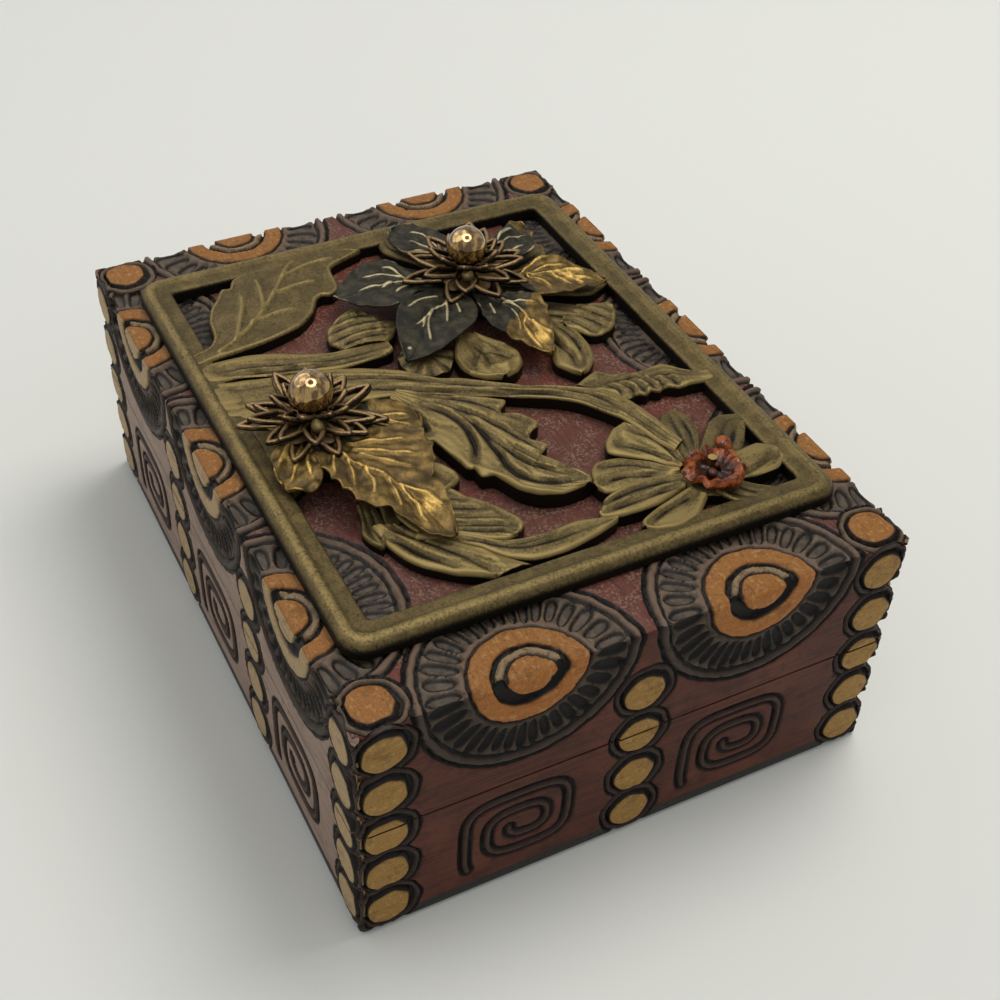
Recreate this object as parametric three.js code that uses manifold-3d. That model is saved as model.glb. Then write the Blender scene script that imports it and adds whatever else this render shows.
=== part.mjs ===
// A small carved wooden trinket box. A mitred base and a mitred lid meet at a thin saw cut and turn
// on two brass butt hinges. A cast openwork brass frame of leaves lies on the lid, with two applied
// flowers and the seat of a lost third one pinned through it.
// Millimetres, +Z up, the long side along X and the front towards -Y. The origin is the middle of
// the underside.
import * as THREE from 'three';
import { mergeVertices } from 'three/addons/utils/BufferGeometryUtils.js';
import Module from 'manifold-3d';

const wasm = await Module();
wasm.setup();

// The box
const LENGTH = 130;
const WIDTH = 98;
const HEIGHT = 49;
const WALL = 7;
const BOTTOM = 2.8;
const TOP = 6;
const SPLIT = 25.3; // height of the saw cut between base and lid
const KERF = 0.4;
const GAP = 0.3; // clearance between pieces let into each other
const BASE_RIM = SPLIT - KERF / 2;
const LID_RIM = SPLIT + KERF / 2;
const CEILING = HEIGHT - TOP;
const FOOT_CHAMFER = 0.8;

// The carving. Each cut is an inner radius, an outer radius and a depth.
const DISC_INSET = 5; // from the middle of a disc to the box's edge
const DISC_GROOVE = [3.5, 4.4, 0.8];
const CORNER_DISCS = [43.1, 33.2, 23.6, 14.4, 5.4]; // heights of the discs beside a corner
const MIDDLE_DISCS = [34.8, 24.7, 14.8, 5.4]; // heights of the discs between two suns
const LONG_SUNS = [-39, 0, 39]; // middles of the half suns along an upper edge
const SHORT_SUNS = [-20.3, 20.3];
const SUN_GROOVE = [5.4, 6.4, 0.9];
const SUN_BAND = [10.4, 17, 0.9]; // the ring of gouge cuts
const SCROLL_HEIGHT = 13.4;
const SCROLL_REACH = [10.6, 9]; // half its width and half its height
const SCROLL_TURNS = 2;
const SCROLL_STEP = 3.3; // from one turn to the next
const SCROLL_CUT = [0.9, 0.6]; // half width and depth
const SPILL = 0.5; // how far a cutter stands out of the wood

// The butt hinges
const HINGE_X = 33; // distance of each hinge from the middle
const LEAF_LENGTH = 16;
const LEAF_DEPTH = 5;
const LEAF_THICK = 0.9;
const BARREL_R = 1.5;
const BARREL_Y = WIDTH / 2 + BARREL_R + 0.4;
const BORE_R = 0.9;
const PIN_R = 0.75;
const KNUCKLE_GAP = 0.2;
const SCREW_X = 5;
const SCREW_HEAD_R = 1.2;
const SCREW_SHANK_R = 0.6;
const SCREW_LENGTH = 4.6;

// The brass casting
const FRAME_X = 52.4; // half the outer length
const FRAME_Y = 44;
const FRAME_WIDTH = 5.6;
const FRAME_CORNER = 4.5;
const CAST_HEIGHT = 2.9;
const PIN_HOLE_R = 1.1;
const FLOWER_PIN_R = 0.8;

// The applied flowers: the middle of each, on the lid
const FLOWER_A = [-27.3, 13.5];
const FLOWER_B = [2.4, -29.5];
const FLOWER_C = [39.5, 26];
const LEAF_FLOOR = HEIGHT + CAST_HEIGHT + GAP; // underside of the applied leaves
const ROSETTE_FLOOR = LEAF_FLOOR + 1.5;
const HUB_HEIGHT = 0.8;
const CUP_HEIGHT = 2.3;
const BEAD_R = 3.7;
const SEAT_R = BEAD_R + GAP; // dished top of the cup
const CUP_R = 3.3;

const metal = (color, roughness) => new THREE.MeshStandardMaterial({ color, roughness, metalness: 1 });
const wood = new THREE.MeshStandardMaterial({ color: 0x6e4137, roughness: 0.55, metalness: 0 });
const blackWood = new THREE.MeshStandardMaterial({ color: 0x3c3a34, roughness: 0.6, metalness: 0 });
const brass = metal(0x786941, 0.45);
const gold = metal(0xbe9650, 0.25);
const darkLeaf = metal(0x46483f, 0.55);
const copper = metal(0xa0501e, 0.3);

// A mesh with its coincident vertices joined and its collapsed faces left out
function weld(geometry) {
  const bare = geometry.clone();
  bare.deleteAttribute('normal');
  bare.deleteAttribute('uv');
  const joined = mergeVertices(bare, 1e-4);
  const corners = joined.index.array;
  const kept = [];
  for (let i = 0; i < corners.length; i += 3) {
    const [a, b, c] = corners.slice(i, i + 3);
    if (a !== b && b !== c && c !== a) kept.push(a, b, c);
  }
  joined.setIndex(kept);
  return joined;
}

function toSolid(geometry) {
  const joined = weld(geometry);
  return new wasm.Manifold(new wasm.Mesh({
    numProp: 3,
    vertProperties: new Float32Array(joined.attributes.position.array),
    triVerts: new Uint32Array(joined.index.array),
  }));
}

function toGeometry(solid) {
  const mesh = solid.getMesh();
  const geometry = new THREE.BufferGeometry();
  geometry.setAttribute('position', new THREE.BufferAttribute(mesh.vertProperties, 3));
  geometry.setIndex(new THREE.BufferAttribute(mesh.triVerts, 1));
  geometry.computeVertexNormals();
  return geometry;
}

function cut(geometry, cutters) {
  return toGeometry(cutters.reduce((left, cutter) => left.subtract(toSolid(cutter)), toSolid(geometry)));
}

function join(geometries) {
  return toGeometry(geometries.map(toSolid).reduce((sum, next) => sum.add(next)));
}

function box(x0, x1, y0, y1, z0, z1) {
  const geometry = new THREE.BoxGeometry(x1 - x0, y1 - y0, z1 - z0);
  return geometry.translate((x0 + x1) / 2, (y0 + y1) / 2, (z0 + z1) / 2);
}

// A prism standing on z0 whose plan is a list of points
function prism(points, z0, z1) {
  const shape = new THREE.Shape(points.map(([x, y]) => new THREE.Vector2(x, y)));
  return new THREE.ExtrudeGeometry(shape, { depth: z1 - z0, bevelEnabled: false }).translate(0, 0, z0);
}

// A turned solid round the Z axis; each profile point is a radius and a height
function turned(profile, segments) {
  const points = profile.map(([radius, height]) => new THREE.Vector2(radius, height));
  return new THREE.LatheGeometry(points, segments).rotateX(Math.PI / 2);
}

function rod(radius, z0, z1, segments) {
  return turned([[0, z0], [radius, z0], [radius, z1], [0, z1]], segments);
}

function tube(outer, inner, z0, z1, segments) {
  return turned([[inner, z0], [outer, z0], [outer, z1], [inner, z1], [inner, z0]], segments);
}

// A closed skin over rings that share one section, with a flat cap on each end
function skin(rings, section) {
  const count = section.length;
  const last = (rings.length - 1) * count;
  const corners = [];
  for (let start = 0; start < last; start += count) {
    for (let k = 0; k < count; k++) {
      const a = start + k;
      const b = start + ((k + 1) % count);
      corners.push(a, b, b + count, a, b + count, a + count);
    }
  }
  for (const [a, b, c] of THREE.ShapeUtils.triangulateShape(section, [])) {
    corners.push(c, b, a, last + a, last + b, last + c);
  }
  const geometry = new THREE.BufferGeometry();
  const numbers = rings.flat().flatMap((point) => point.toArray());
  geometry.setAttribute('position', new THREE.Float32BufferAttribute(numbers, 3));
  geometry.setIndex(corners);
  return geometry;
}

// A section carried along a flat path; sizeAt gives its half width, height and lift at each step
function sweep(path, steps, section, sizeAt) {
  const rings = [];
  for (let step = 0; step <= steps; step++) {
    const t = step / steps;
    const at = path.getPointAt(t);
    const ahead = path.getTangentAt(t);
    const { half, height = 1, lift = 0 } = sizeAt(t);
    rings.push(section.map((corner) => new THREE.Vector3(
      at.x - ahead.y * half * corner.x,
      at.y + ahead.x * half * corner.x,
      lift + height * corner.y,
    )));
  }
  return skin(rings, section);
}

const section = (points) => points.map(([x, y]) => new THREE.Vector2(x, y));

// The half outlines of the leaves along their length: the cast ones have a broad root, the pressed
// ones a narrow root
const castSwell = (t) => Math.sin(Math.PI * (0.13 + 0.84 * t)) ** 0.8;
const pressedSwell = (t) => Math.sin(Math.PI * (0.04 + 0.93 * t) ** 1.25);

function bentPath([x0, y0], [x1, y1], bend) {
  const middle = new THREE.Vector2((x0 + x1) / 2 - (y1 - y0) * bend, (y0 + y1) / 2 + (x1 - x0) * bend);
  return new THREE.QuadraticBezierCurve(new THREE.Vector2(x0, y0), middle, new THREE.Vector2(x1, y1));
}

const CAST_LEAF = section([[-1, 0], [1, 0], [0.6, 1], [0, 0.7], [-0.6, 1]]);
const HALF_ROUND = section([[-1, 0], [1, 0], [0.8, 0.75], [0, 1], [-0.8, 0.75]]);

// A cast leaf with a sunk midrib, flat underneath
function castLeaf(root, tip, width, bend = 0, steps = 3) {
  const swell = (t) => ({ half: (width / 2) * castSwell(t), height: CAST_HEIGHT * (1 - 0.35 * t * t) });
  return sweep(bentPath(root, tip, bend), steps, CAST_LEAF, swell);
}

// A half round stem through a few points, tapering from its foot to its end
function castStem(points, footWidth, endWidth) {
  const path = new THREE.SplineCurve(section(points));
  const taper = (t) => ({ half: (footWidth + (endWidth - footWidth) * t) / 2, height: CAST_HEIGHT * 0.9 });
  return sweep(path, points.length * 2, HALF_ROUND, taper);
}

function boss([x, y], radius) {
  const shoulder = [[radius * 0.9, CAST_HEIGHT * 0.6], [radius * 0.5, CAST_HEIGHT]];
  return turned([[0, 0], [radius, 0], ...shoulder, [0, CAST_HEIGHT]], 12).translate(x, y, 0);
}

function roundedOutline(halfX, halfY, radius) {
  const outline = new THREE.Path();
  outline.absarc(halfX - radius, halfY - radius, radius, 0, Math.PI / 2);
  outline.absarc(radius - halfX, halfY - radius, radius, Math.PI / 2, Math.PI);
  outline.absarc(radius - halfX, radius - halfY, radius, Math.PI, 1.5 * Math.PI);
  outline.absarc(halfX - radius, radius - halfY, radius, 1.5 * Math.PI, 2 * Math.PI);
  outline.closePath();
  return outline;
}

// The moulded border of the casting: a rounded rectangle with its upper edges taken down
function castBorder() {
  const bevel = 1.3;
  const outline = roundedOutline(FRAME_X - bevel, FRAME_Y - bevel, FRAME_CORNER - bevel);
  const shape = new THREE.Shape(outline.getPoints(3));
  const innerX = FRAME_X - FRAME_WIDTH + bevel;
  const innerY = FRAME_Y - FRAME_WIDTH + bevel;
  shape.holes.push(new THREE.Path(roundedOutline(innerX, innerY, 1.2 + bevel).getPoints(2)));
  const bar = new THREE.ExtrudeGeometry(shape, {
    depth: CAST_HEIGHT - bevel,
    bevelSize: bevel,
    bevelThickness: bevel,
    bevelSegments: 2,
  });
  return cut(bar, [box(-LENGTH, LENGTH, -WIDTH, WIDTH, -HEIGHT, 0)]);
}

// Stems, leaves, buds and the three flowers of the casting, on the lid's own plan
function castFoliage() {
  const stems = [
    castStem([[-21, -40], [-12, -21], [-2, -7], [8, 9], [14, 18], [24, 23.5], [37, 25]], 6, 3.4),
    castStem([[-23.5, -40], [-18.5, -25], [-15.5, -15], [-15.5, -8]], 5, 4.5),
    castStem([[-5, -11], [-8, -5], [-7, 2]], 4.5, 2),
  ];
  const leaves = [
    castLeaf([-23.5, -37], [-50, -7], 21, 0.06, 6), // broad plain leaf
    castLeaf([-1, -13], [34.5, 5.5], 13, -0.1, 6), // long curled leaf
    castLeaf([-1, -13], [26.5, -7.5], 7.5, 0.1),
    castLeaf([11, 16], [17, 40.5], 9, -0.08),
    castLeaf([-21, 17.5], [8.5, 20.5], 8.5, 0.06),
    castLeaf([-51, 2], [-30, 9], 8, -0.05),
    castLeaf([35, -19.5], [46.5, 7], 8.5, -0.12),
    castLeaf([27, -20], [38.5, -7.5], 10, -0.08),
    castLeaf([22, -33], [49, -13.5], 8, -0.08),
    castLeaf([-3, -26], [34, -21], 9, 0.05),
  ];
  const buds = [
    castLeaf([-2.5, 25], [-12, 34.5], 10.5),
    castLeaf([-15.5, -18], [-22.5, -3], 12.5, -0.05),
    castLeaf([6, 3], [-10, 8.5], 11),
  ];
  const petalsC = [
    castLeaf([36.5, 27], [30, 40.5], 10, -0.1),
    castLeaf([40, 26], [42.5, 40.5], 7, 0.08),
    castLeaf([38, 26], [22.5, 28.5], 7.5),
    castLeaf([38.5, 25.5], [23, 17], 8.5, 0.06),
    castLeaf([38.5, 25.5], [33, 7], 9, 0.05),
    castLeaf([40, 25.5], [42.5, 3], 9),
    castLeaf([41, 26], [48.5, 10], 8, -0.05),
  ];
  const petalsA = [120, 148, 95, 60].map((degrees) => {
    const angle = THREE.MathUtils.degToRad(degrees);
    const [x, y] = FLOWER_A;
    return castLeaf([x, y], [x + 21 * Math.cos(angle), y + 19 * Math.sin(angle)], 8);
  });
  const bosses = [boss(FLOWER_A, 9.5), boss(FLOWER_B, 12), boss(FLOWER_C, 7)];
  return [...stems, ...leaves, ...buds, ...petalsC, ...petalsA, ...bosses];
}

function brassFrame() {
  const casting = join([castBorder(), ...castFoliage()]);
  const holes = [FLOWER_A, FLOWER_B, FLOWER_C].map(([x, y]) => (
    rod(PIN_HOLE_R, -1, CAST_HEIGHT + 1, 8).translate(x, y, 0)));
  return cut(casting, holes);
}

// A wall board on the front line, standing from z0 to z1 with both ends mitred
function wallBoard(run, across, z0, z1) {
  const outer = -across / 2;
  const inner = outer + WALL;
  const half = run / 2;
  return prism([[-half, outer], [half, outer], [half - WALL, inner], [WALL - half, inner]], z0, z1);
}

// The four sides of the box, each turned from the front line
const SIDES = [
  { side: 'front', run: LENGTH, across: WIDTH, suns: LONG_SUNS, turn: 0 },
  { side: 'right', run: WIDTH, across: LENGTH, suns: SHORT_SUNS, turn: Math.PI / 2 },
  { side: 'back', run: LENGTH, across: WIDTH, suns: LONG_SUNS, turn: Math.PI },
  { side: 'left', run: WIDTH, across: LENGTH, suns: SHORT_SUNS, turn: -Math.PI / 2 },
];

// Cutters for the carving, made on the plan of a face. They reach down into the wood from z = 0.
function vGroove([inner, outer, depth], segments) {
  const middle = (inner + outer) / 2;
  const half = ((outer - inner) / 2) * (1 + SPILL / depth);
  const bottom = [middle, -depth];
  return turned([bottom, [middle + half, SPILL], [middle - half, SPILL], bottom], segments);
}

const discRing = (x, y) => vGroove(DISC_GROOVE, 7).translate(x, y, 0);

function sunRings(x, y) {
  return [vGroove(SUN_GROOVE, 8).translate(x, y, 0), vGroove(SUN_BAND, 12).translate(x, y, 0)];
}

// A squared spiral that runs inwards, with its steps even in angle
class ScrollLine extends THREE.Curve {
  getPoint(t, target = new THREE.Vector2()) {
    const turns = SCROLL_TURNS * t;
    const angle = Math.PI * (1.25 - 2 * turns);
    const halfX = SCROLL_REACH[0] - SCROLL_STEP * turns;
    const halfY = SCROLL_REACH[1] - SCROLL_STEP * turns;
    const square = (share) => Math.sign(share) * Math.abs(share) ** 0.5;
    return target.set(halfX * square(Math.cos(angle)), halfY * square(Math.sin(angle)));
  }

  getUtoTmapping(u) {
    return u;
  }
}

function scroll(x) {
  const [half, depth] = SCROLL_CUT;
  const wedge = section([[0, -depth], [1 + SPILL / depth, SPILL], [-1 - SPILL / depth, SPILL]]);
  return sweep(new ScrollLine(), SCROLL_TURNS * 4, wedge, () => ({ half })).translate(x, SCROLL_HEIGHT, 0);
}

// All cutters of one side, on the front line
function sideCarving({ run, across, suns }) {
  const end = run / 2 - DISC_INSET;
  const corners = [-end, end].flatMap((x) => CORNER_DISCS.map((z) => discRing(x, z)));
  const between = suns.slice(1).map((x, k) => (x + suns[k]) / 2);
  const middles = between.flatMap((x) => MIDDLE_DISCS.map((z) => discRing(x, z)));
  const rings = suns.flatMap((x) => sunRings(x, HEIGHT));
  const cutters = [...corners, ...middles, ...rings, ...suns.map(scroll)];
  return join(cutters.map((cutter) => cutter.rotateX(Math.PI / 2).translate(0, -across / 2, 0)));
}

// All cutters of the top
function topCarving() {
  const discs = [-1, 1].flatMap((i) => [-1, 1].map((j) => (
    discRing(i * (LENGTH / 2 - DISC_INSET), j * (WIDTH / 2 - DISC_INSET)))));
  const longEdges = [-WIDTH / 2, WIDTH / 2].flatMap((y) => LONG_SUNS.flatMap((x) => sunRings(x, y)));
  const shortEdges = [-LENGTH / 2, LENGTH / 2].flatMap((x) => SHORT_SUNS.flatMap((y) => sunRings(x, y)));
  return join([...discs, ...longEdges, ...shortEdges].map((cutter) => cutter.translate(0, 0, HEIGHT)));
}

const CARVED_SIDES = SIDES.map((side) => ({ ...side, carving: sideCarving(side) }));
const ROUND_CARVING = CARVED_SIDES.map(({ carving, turn }) => carving.clone().rotateZ(turn));

// Shallow pockets for one hinge's leaves and screws, in a board on the front line. The rim is the
// edge that the leaf lies on, and up is the way from it to the other leaf.
function hingePockets(rim, up) {
  const outer = -WIDTH / 2;
  const floor = rim - up * (LEAF_THICK + GAP);
  const pocket = (x) => {
    const reach = LEAF_LENGTH / 2 + GAP;
    const low = Math.min(floor, rim + up);
    const high = Math.max(floor, rim + up);
    return box(x - reach, x + reach, outer - 1, outer + LEAF_DEPTH + GAP, low, high);
  };
  const hole = (x) => {
    const end = rim - up * (SCREW_LENGTH + GAP);
    return rod(SCREW_SHANK_R + GAP, Math.min(end, rim), Math.max(end, rim), 6)
      .translate(x, outer + LEAF_DEPTH / 2, 0);
  };
  return [-HINGE_X, HINGE_X].flatMap((x) => [pocket(x), hole(x - SCREW_X), hole(x + SCREW_X)]);
}

function bottomBoard() {
  const corners = [[-1, -1], [1, -1], [1, 1], [-1, 1]];
  const ring = (shrink, z) => corners.map(([i, j]) => (
    new THREE.Vector3(i * (LENGTH / 2 - shrink), j * (WIDTH / 2 - shrink), z)));
  return skin([ring(FOOT_CHAMFER, 0), ring(0, FOOT_CHAMFER), ring(0, BOTTOM)], section(corners));
}

function lidTopBoard() {
  const board = box(-LENGTH / 2, LENGTH / 2, -WIDTH / 2, WIDTH / 2, CEILING, HEIGHT);
  const holes = [FLOWER_A, FLOWER_B, FLOWER_C].map(([x, y]) => (
    rod(PIN_HOLE_R, CEILING + 1.2, HEIGHT + 1, 8).translate(x, y, 0)));
  return cut(board, [...holes, ...ROUND_CARVING, topCarving()]);
}

// One leaf of a hinge with its knuckles, the barrel along X at the origin and the plate towards -Y.
// The base leaf carries the two outer knuckles and lies under the axis, the lid leaf the middle one.
function hingeLeaf(up, knuckles) {
  const rim = up * (KERF / 2);
  const [low, high] = [rim, rim + up * LEAF_THICK].sort((a, b) => a - b);
  const back = -(BARREL_Y - WIDTH / 2);
  const plate = box(-LEAF_LENGTH / 2, LEAF_LENGTH / 2, back - LEAF_DEPTH, back - 0.1, low, high);
  const barrels = knuckles.flatMap(([x0, x1]) => [
    box(x0, x1, back - 1, -BORE_R, low, high),
    tube(BARREL_R, BORE_R, x0, x1, 8).rotateY(Math.PI / 2),
  ]);
  const sinks = [-SCREW_X, SCREW_X].map((x) => (
    rod(SCREW_HEAD_R + GAP, -2, 2, 6).translate(x, back - LEAF_DEPTH / 2, 0)));
  const bore = rod(BORE_R, -LEAF_LENGTH, LEAF_LENGTH, 8).rotateY(Math.PI / 2);
  return cut(join([plate, ...barrels]), [...sinks, bore]);
}

const thirdKnuckle = LEAF_LENGTH / 6;
const OUTER_KNUCKLES = [
  [-LEAF_LENGTH / 2, -thirdKnuckle - KNUCKLE_GAP],
  [thirdKnuckle + KNUCKLE_GAP, LEAF_LENGTH / 2],
];
const MIDDLE_KNUCKLE = [[-thirdKnuckle, thirdKnuckle]];

// A countersunk wood screw pointing down from the origin, tapering to its tip
function hingeScrew() {
  return turned([[0, -SCREW_LENGTH], [SCREW_SHANK_R, -LEAF_THICK], [SCREW_HEAD_R, -0.1], [0, -0.1]], 6);
}

// An applied leaf of thin pressed metal, its root at the origin and its tip along +X. It rises from
// the root, droops at the tip, and is folded along its midrib.
const SHEET = section([
  [-1, 0], [-0.5, 0.75], [0, 0.35], [0.5, 0.75], [1, 0],
  [1, 0.7], [0.5, 1.45], [0, 1.05], [-0.5, 1.45], [-1, 0.7],
]);

function pressedLeaf(length, width, rise) {
  const path = new THREE.LineCurve(new THREE.Vector2(0, 0), new THREE.Vector2(length, 0));
  const swell = (t) => ({ half: (width / 2) * pressedSwell(t), lift: rise * Math.sin(Math.PI * t) ** 1.2 });
  return sweep(path, 5, SHEET, swell);
}

// A wire petal: a pointed loop from the hub outwards, tilted up
function wirePetal(reach, width, wire, tilt) {
  const start = 2;
  const loop = (from, to, half) => {
    const outline = new THREE.Shape();
    outline.moveTo(from, 0);
    outline.quadraticCurveTo((from + to) / 2, -half * 2, to, 0);
    outline.quadraticCurveTo((from + to) / 2, half * 2, from, 0);
    return outline;
  };
  const petal = loop(start, reach, width / 2);
  petal.holes.push(loop(start + 2.4, reach - 2.2 * wire, width / 2 - wire));
  return new THREE.ExtrudeGeometry(petal, { depth: wire, bevelEnabled: false, curveSegments: 2 })
    .rotateY(-tilt);
}

// A rosette of wire petals round a pierced hub, standing on z = 0
function wireRosette(petals, reach, width) {
  const wire = 0.9;
  const loops = Array.from({ length: petals }, (_, k) => {
    const tilt = k % 2 ? 0.42 : 0.16;
    const turn = (k / petals) * 2 * Math.PI;
    return wirePetal(reach - (k % 2) * 1.5, width, wire, tilt).rotateZ(turn);
  });
  const hub = rod(3.4, -0.2, HUB_HEIGHT + 0.6, 10);
  return cut(join([hub, ...loops]), [
    rod(PIN_HOLE_R, -2, 4, 8),
    box(-reach, reach, -reach, reach, -3, 0),
    rod(2.4, HUB_HEIGHT, 4, 10),
  ]);
}

// The little cup that holds a bead: narrow at the foot, dished on top, bored for the pin
const BEAD_RISE = CUP_HEIGHT + Math.sqrt(SEAT_R ** 2 - (CUP_R - 0.4) ** 2);

function beadCup() {
  const dish = (radius) => [radius, BEAD_RISE - Math.sqrt(SEAT_R ** 2 - radius ** 2)];
  const foot = [PIN_HOLE_R, 0];
  const outside = [[1.9, 0], [1.7, 0.9], [CUP_R, CUP_HEIGHT]];
  const inside = [dish(CUP_R - 0.4), dish(2), dish(PIN_HOLE_R)];
  return turned([foot, ...outside, ...inside, foot], 10);
}

const bead = () => new THREE.SphereGeometry(BEAD_R, 12, 7).rotateX(Math.PI / 2);

// What is left of the third flower: an oval lump of enamel round the stub of its pin
function enamelSeat() {
  const profile = [[1.3, 0], [4.2, 0], [4.4, 0.9], [3.2, 1.9], [2.1, 1.2], [1.3, 1.3], [1.3, 0]];
  return turned(profile, 12).scale(1.25, 0.95, 1);
}

function part(parent, name, geometry, material, place = [0, 0, 0], turn = 0) {
  const mesh = new THREE.Mesh(geometry, material);
  mesh.name = name;
  mesh.position.set(...place);
  mesh.rotation.z = turn;
  parent.add(mesh);
  return mesh;
}

const base = new THREE.Group();
const lid = new THREE.Group();

part(base, 'bottom_board', bottomBoard(), blackWood);
for (const { side, run, across, turn, carving } of CARVED_SIDES) {
  const lower = wallBoard(run, across, BOTTOM, BASE_RIM);
  const upper = wallBoard(run, across, LID_RIM, CEILING);
  const hinged = side === 'back';
  const lowerPockets = hinged ? hingePockets(BASE_RIM, 1) : [];
  const upperPockets = hinged ? hingePockets(LID_RIM, -1) : [];
  part(base, `base_${side}`, cut(lower, [carving, ...lowerPockets]), wood, [0, 0, 0], turn);
  part(lid, `lid_${side}`, cut(upper, [carving, ...upperPockets]), wood, [0, 0, 0], turn);
}
part(lid, 'lid_top', lidTopBoard(), wood);

[['right', HINGE_X], ['left', -HINGE_X]].forEach(([hand, x]) => {
  const axis = [x, BARREL_Y, SPLIT];
  part(base, `hinge_${hand}_base_leaf`, hingeLeaf(-1, OUTER_KNUCKLES), brass, axis);
  part(lid, `hinge_${hand}_lid_leaf`, hingeLeaf(1, MIDDLE_KNUCKLE), brass, axis);
  const pin = rod(PIN_R, -LEAF_LENGTH / 2 - 0.6, LEAF_LENGTH / 2 + 0.6, 8).rotateY(Math.PI / 2);
  part(base, `hinge_${hand}_pin`, pin, brass, axis);
  [['outer', Math.sign(x)], ['inner', -Math.sign(x)]].forEach(([end, way]) => {
    const screwX = x + way * SCREW_X;
    const screwY = WIDTH / 2 - LEAF_DEPTH / 2;
    const upward = hingeScrew().rotateX(Math.PI);
    part(base, `hinge_${hand}_base_screw_${end}`, hingeScrew(), brass, [screwX, screwY, BASE_RIM]);
    part(lid, `hinge_${hand}_lid_screw_${end}`, upward, brass, [screwX, screwY, LID_RIM]);
  });
});

part(lid, 'brass_frame', brassFrame(), brass, [0, 0, HEIGHT]);

// A flower's leaves stand round its pin: each row is a name, a direction, a length and a width. They
// arch by a share of their length.
const LEAF_ROOT = 3.2;

function applyLeaves(flower, rows, arch) {
  for (const [name, degrees, length, width, material] of rows) {
    const turn = THREE.MathUtils.degToRad(degrees);
    const place = [LEAF_ROOT * Math.cos(turn), LEAF_ROOT * Math.sin(turn), LEAF_FLOOR];
    part(flower, name, pressedLeaf(length, width, arch * length), material, place, turn);
  }
}

function applyFlower(name, [x, y], petals, reach, width) {
  const flower = new THREE.Group();
  flower.position.set(x, y, 0);
  const cupFloor = ROSETTE_FLOOR + HUB_HEIGHT + GAP / 3;
  part(flower, `${name}_rosette`, wireRosette(petals, reach, width), darkLeaf, [0, 0, ROSETTE_FLOOR]);
  part(flower, `${name}_cup`, beadCup(), gold, [0, 0, cupFloor]);
  part(flower, `${name}_bead`, bead(), gold, [0, 0, cupFloor + BEAD_RISE]);
  part(flower, `${name}_pin`, rod(FLOWER_PIN_R, CEILING + 1.5, cupFloor + 1, 8), brass);
  lid.add(flower);
  return flower;
}

applyLeaves(applyFlower('flower_a', FLOWER_A, 9, 13.5, 4), [
  ['flower_a_leaf_1', 9, 24.5, 12, gold],
  ['flower_a_leaf_2', 66, 23, 12, gold],
  ['flower_a_leaf_3', 122, 18, 9, darkLeaf],
  ['flower_a_leaf_4', 198, 19, 9.5, darkLeaf],
  ['flower_a_leaf_5', 260, 22.4, 13.5, darkLeaf],
  ['flower_a_leaf_6', 314, 25, 15, darkLeaf],
], 0.078);

applyLeaves(applyFlower('flower_b', FLOWER_B, 11, 12.5, 3.6), [
  ['flower_b_leaf_1', 19, 32, 18, gold],
  ['flower_b_leaf_2', 78, 14, 9, gold],
  ['flower_b_leaf_3', 304, 12.5, 12, gold],
], 0.06);

const flowerC = new THREE.Group();
flowerC.position.set(...FLOWER_C, 0);
part(flowerC, 'flower_c_seat', enamelSeat(), copper, [0, 0, LEAF_FLOOR], -0.9);
part(flowerC, 'flower_c_pin', rod(FLOWER_PIN_R, CEILING + 1.5, LEAF_FLOOR + 2.2, 8), brass);
lid.add(flowerC);

const trinketBox = new THREE.Group();
trinketBox.add(base, lid);
export default trinketBox;
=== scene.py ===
import math

import bmesh
import bpy
import numpy as np
from mathutils import Matrix, Vector, noise


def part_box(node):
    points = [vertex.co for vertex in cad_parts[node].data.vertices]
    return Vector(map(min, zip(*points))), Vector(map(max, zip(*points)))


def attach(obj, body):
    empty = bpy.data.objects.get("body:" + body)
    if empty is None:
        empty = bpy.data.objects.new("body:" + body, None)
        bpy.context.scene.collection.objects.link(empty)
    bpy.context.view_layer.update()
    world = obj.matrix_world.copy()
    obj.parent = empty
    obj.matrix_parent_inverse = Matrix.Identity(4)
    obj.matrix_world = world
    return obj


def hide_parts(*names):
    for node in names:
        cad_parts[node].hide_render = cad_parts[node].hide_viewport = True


# A carved wooden trinket box: stained boards with a cut pattern of discs, half suns and scrolls,
# and a lid that carries an openwork brass casting with two applied metal flowers and the seat of a
# lost third one. Shapes are worked out in millimetres and settled in metres.

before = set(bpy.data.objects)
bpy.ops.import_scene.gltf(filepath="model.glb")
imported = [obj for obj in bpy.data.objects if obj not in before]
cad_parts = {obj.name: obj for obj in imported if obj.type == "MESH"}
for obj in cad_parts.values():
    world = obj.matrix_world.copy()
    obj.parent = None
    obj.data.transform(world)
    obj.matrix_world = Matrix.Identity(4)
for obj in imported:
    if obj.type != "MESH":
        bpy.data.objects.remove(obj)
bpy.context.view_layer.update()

MM = 0.001
FAR = 60.0  # a distance that no part of the pattern reaches
FLUSH = 0.01  # a point this near to a face counts as on it


def node_box(node):
    """Lowest and highest corner of a node of the frame, in millimetres."""
    low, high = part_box(node)
    return np.array(low) / MM, np.array(high) / MM


_, LID_HIGH = node_box("lid_top")
HALF_X = float(LID_HIGH[0])
HALF_Y = float(LID_HIGH[1])
TOP_Z = float(LID_HIGH[2])


# Finishes


def paint(red, green, blue):
    """A colour written as it looks, 0 to 255, in the linear numbers that a shader takes."""
    shares = [value / 255 for value in (red, green, blue)]
    return tuple(((c + 0.055) / 1.055) ** 2.4 if c > 0.04 else c / 12.92 for c in shares) + (1.0,)


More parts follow.
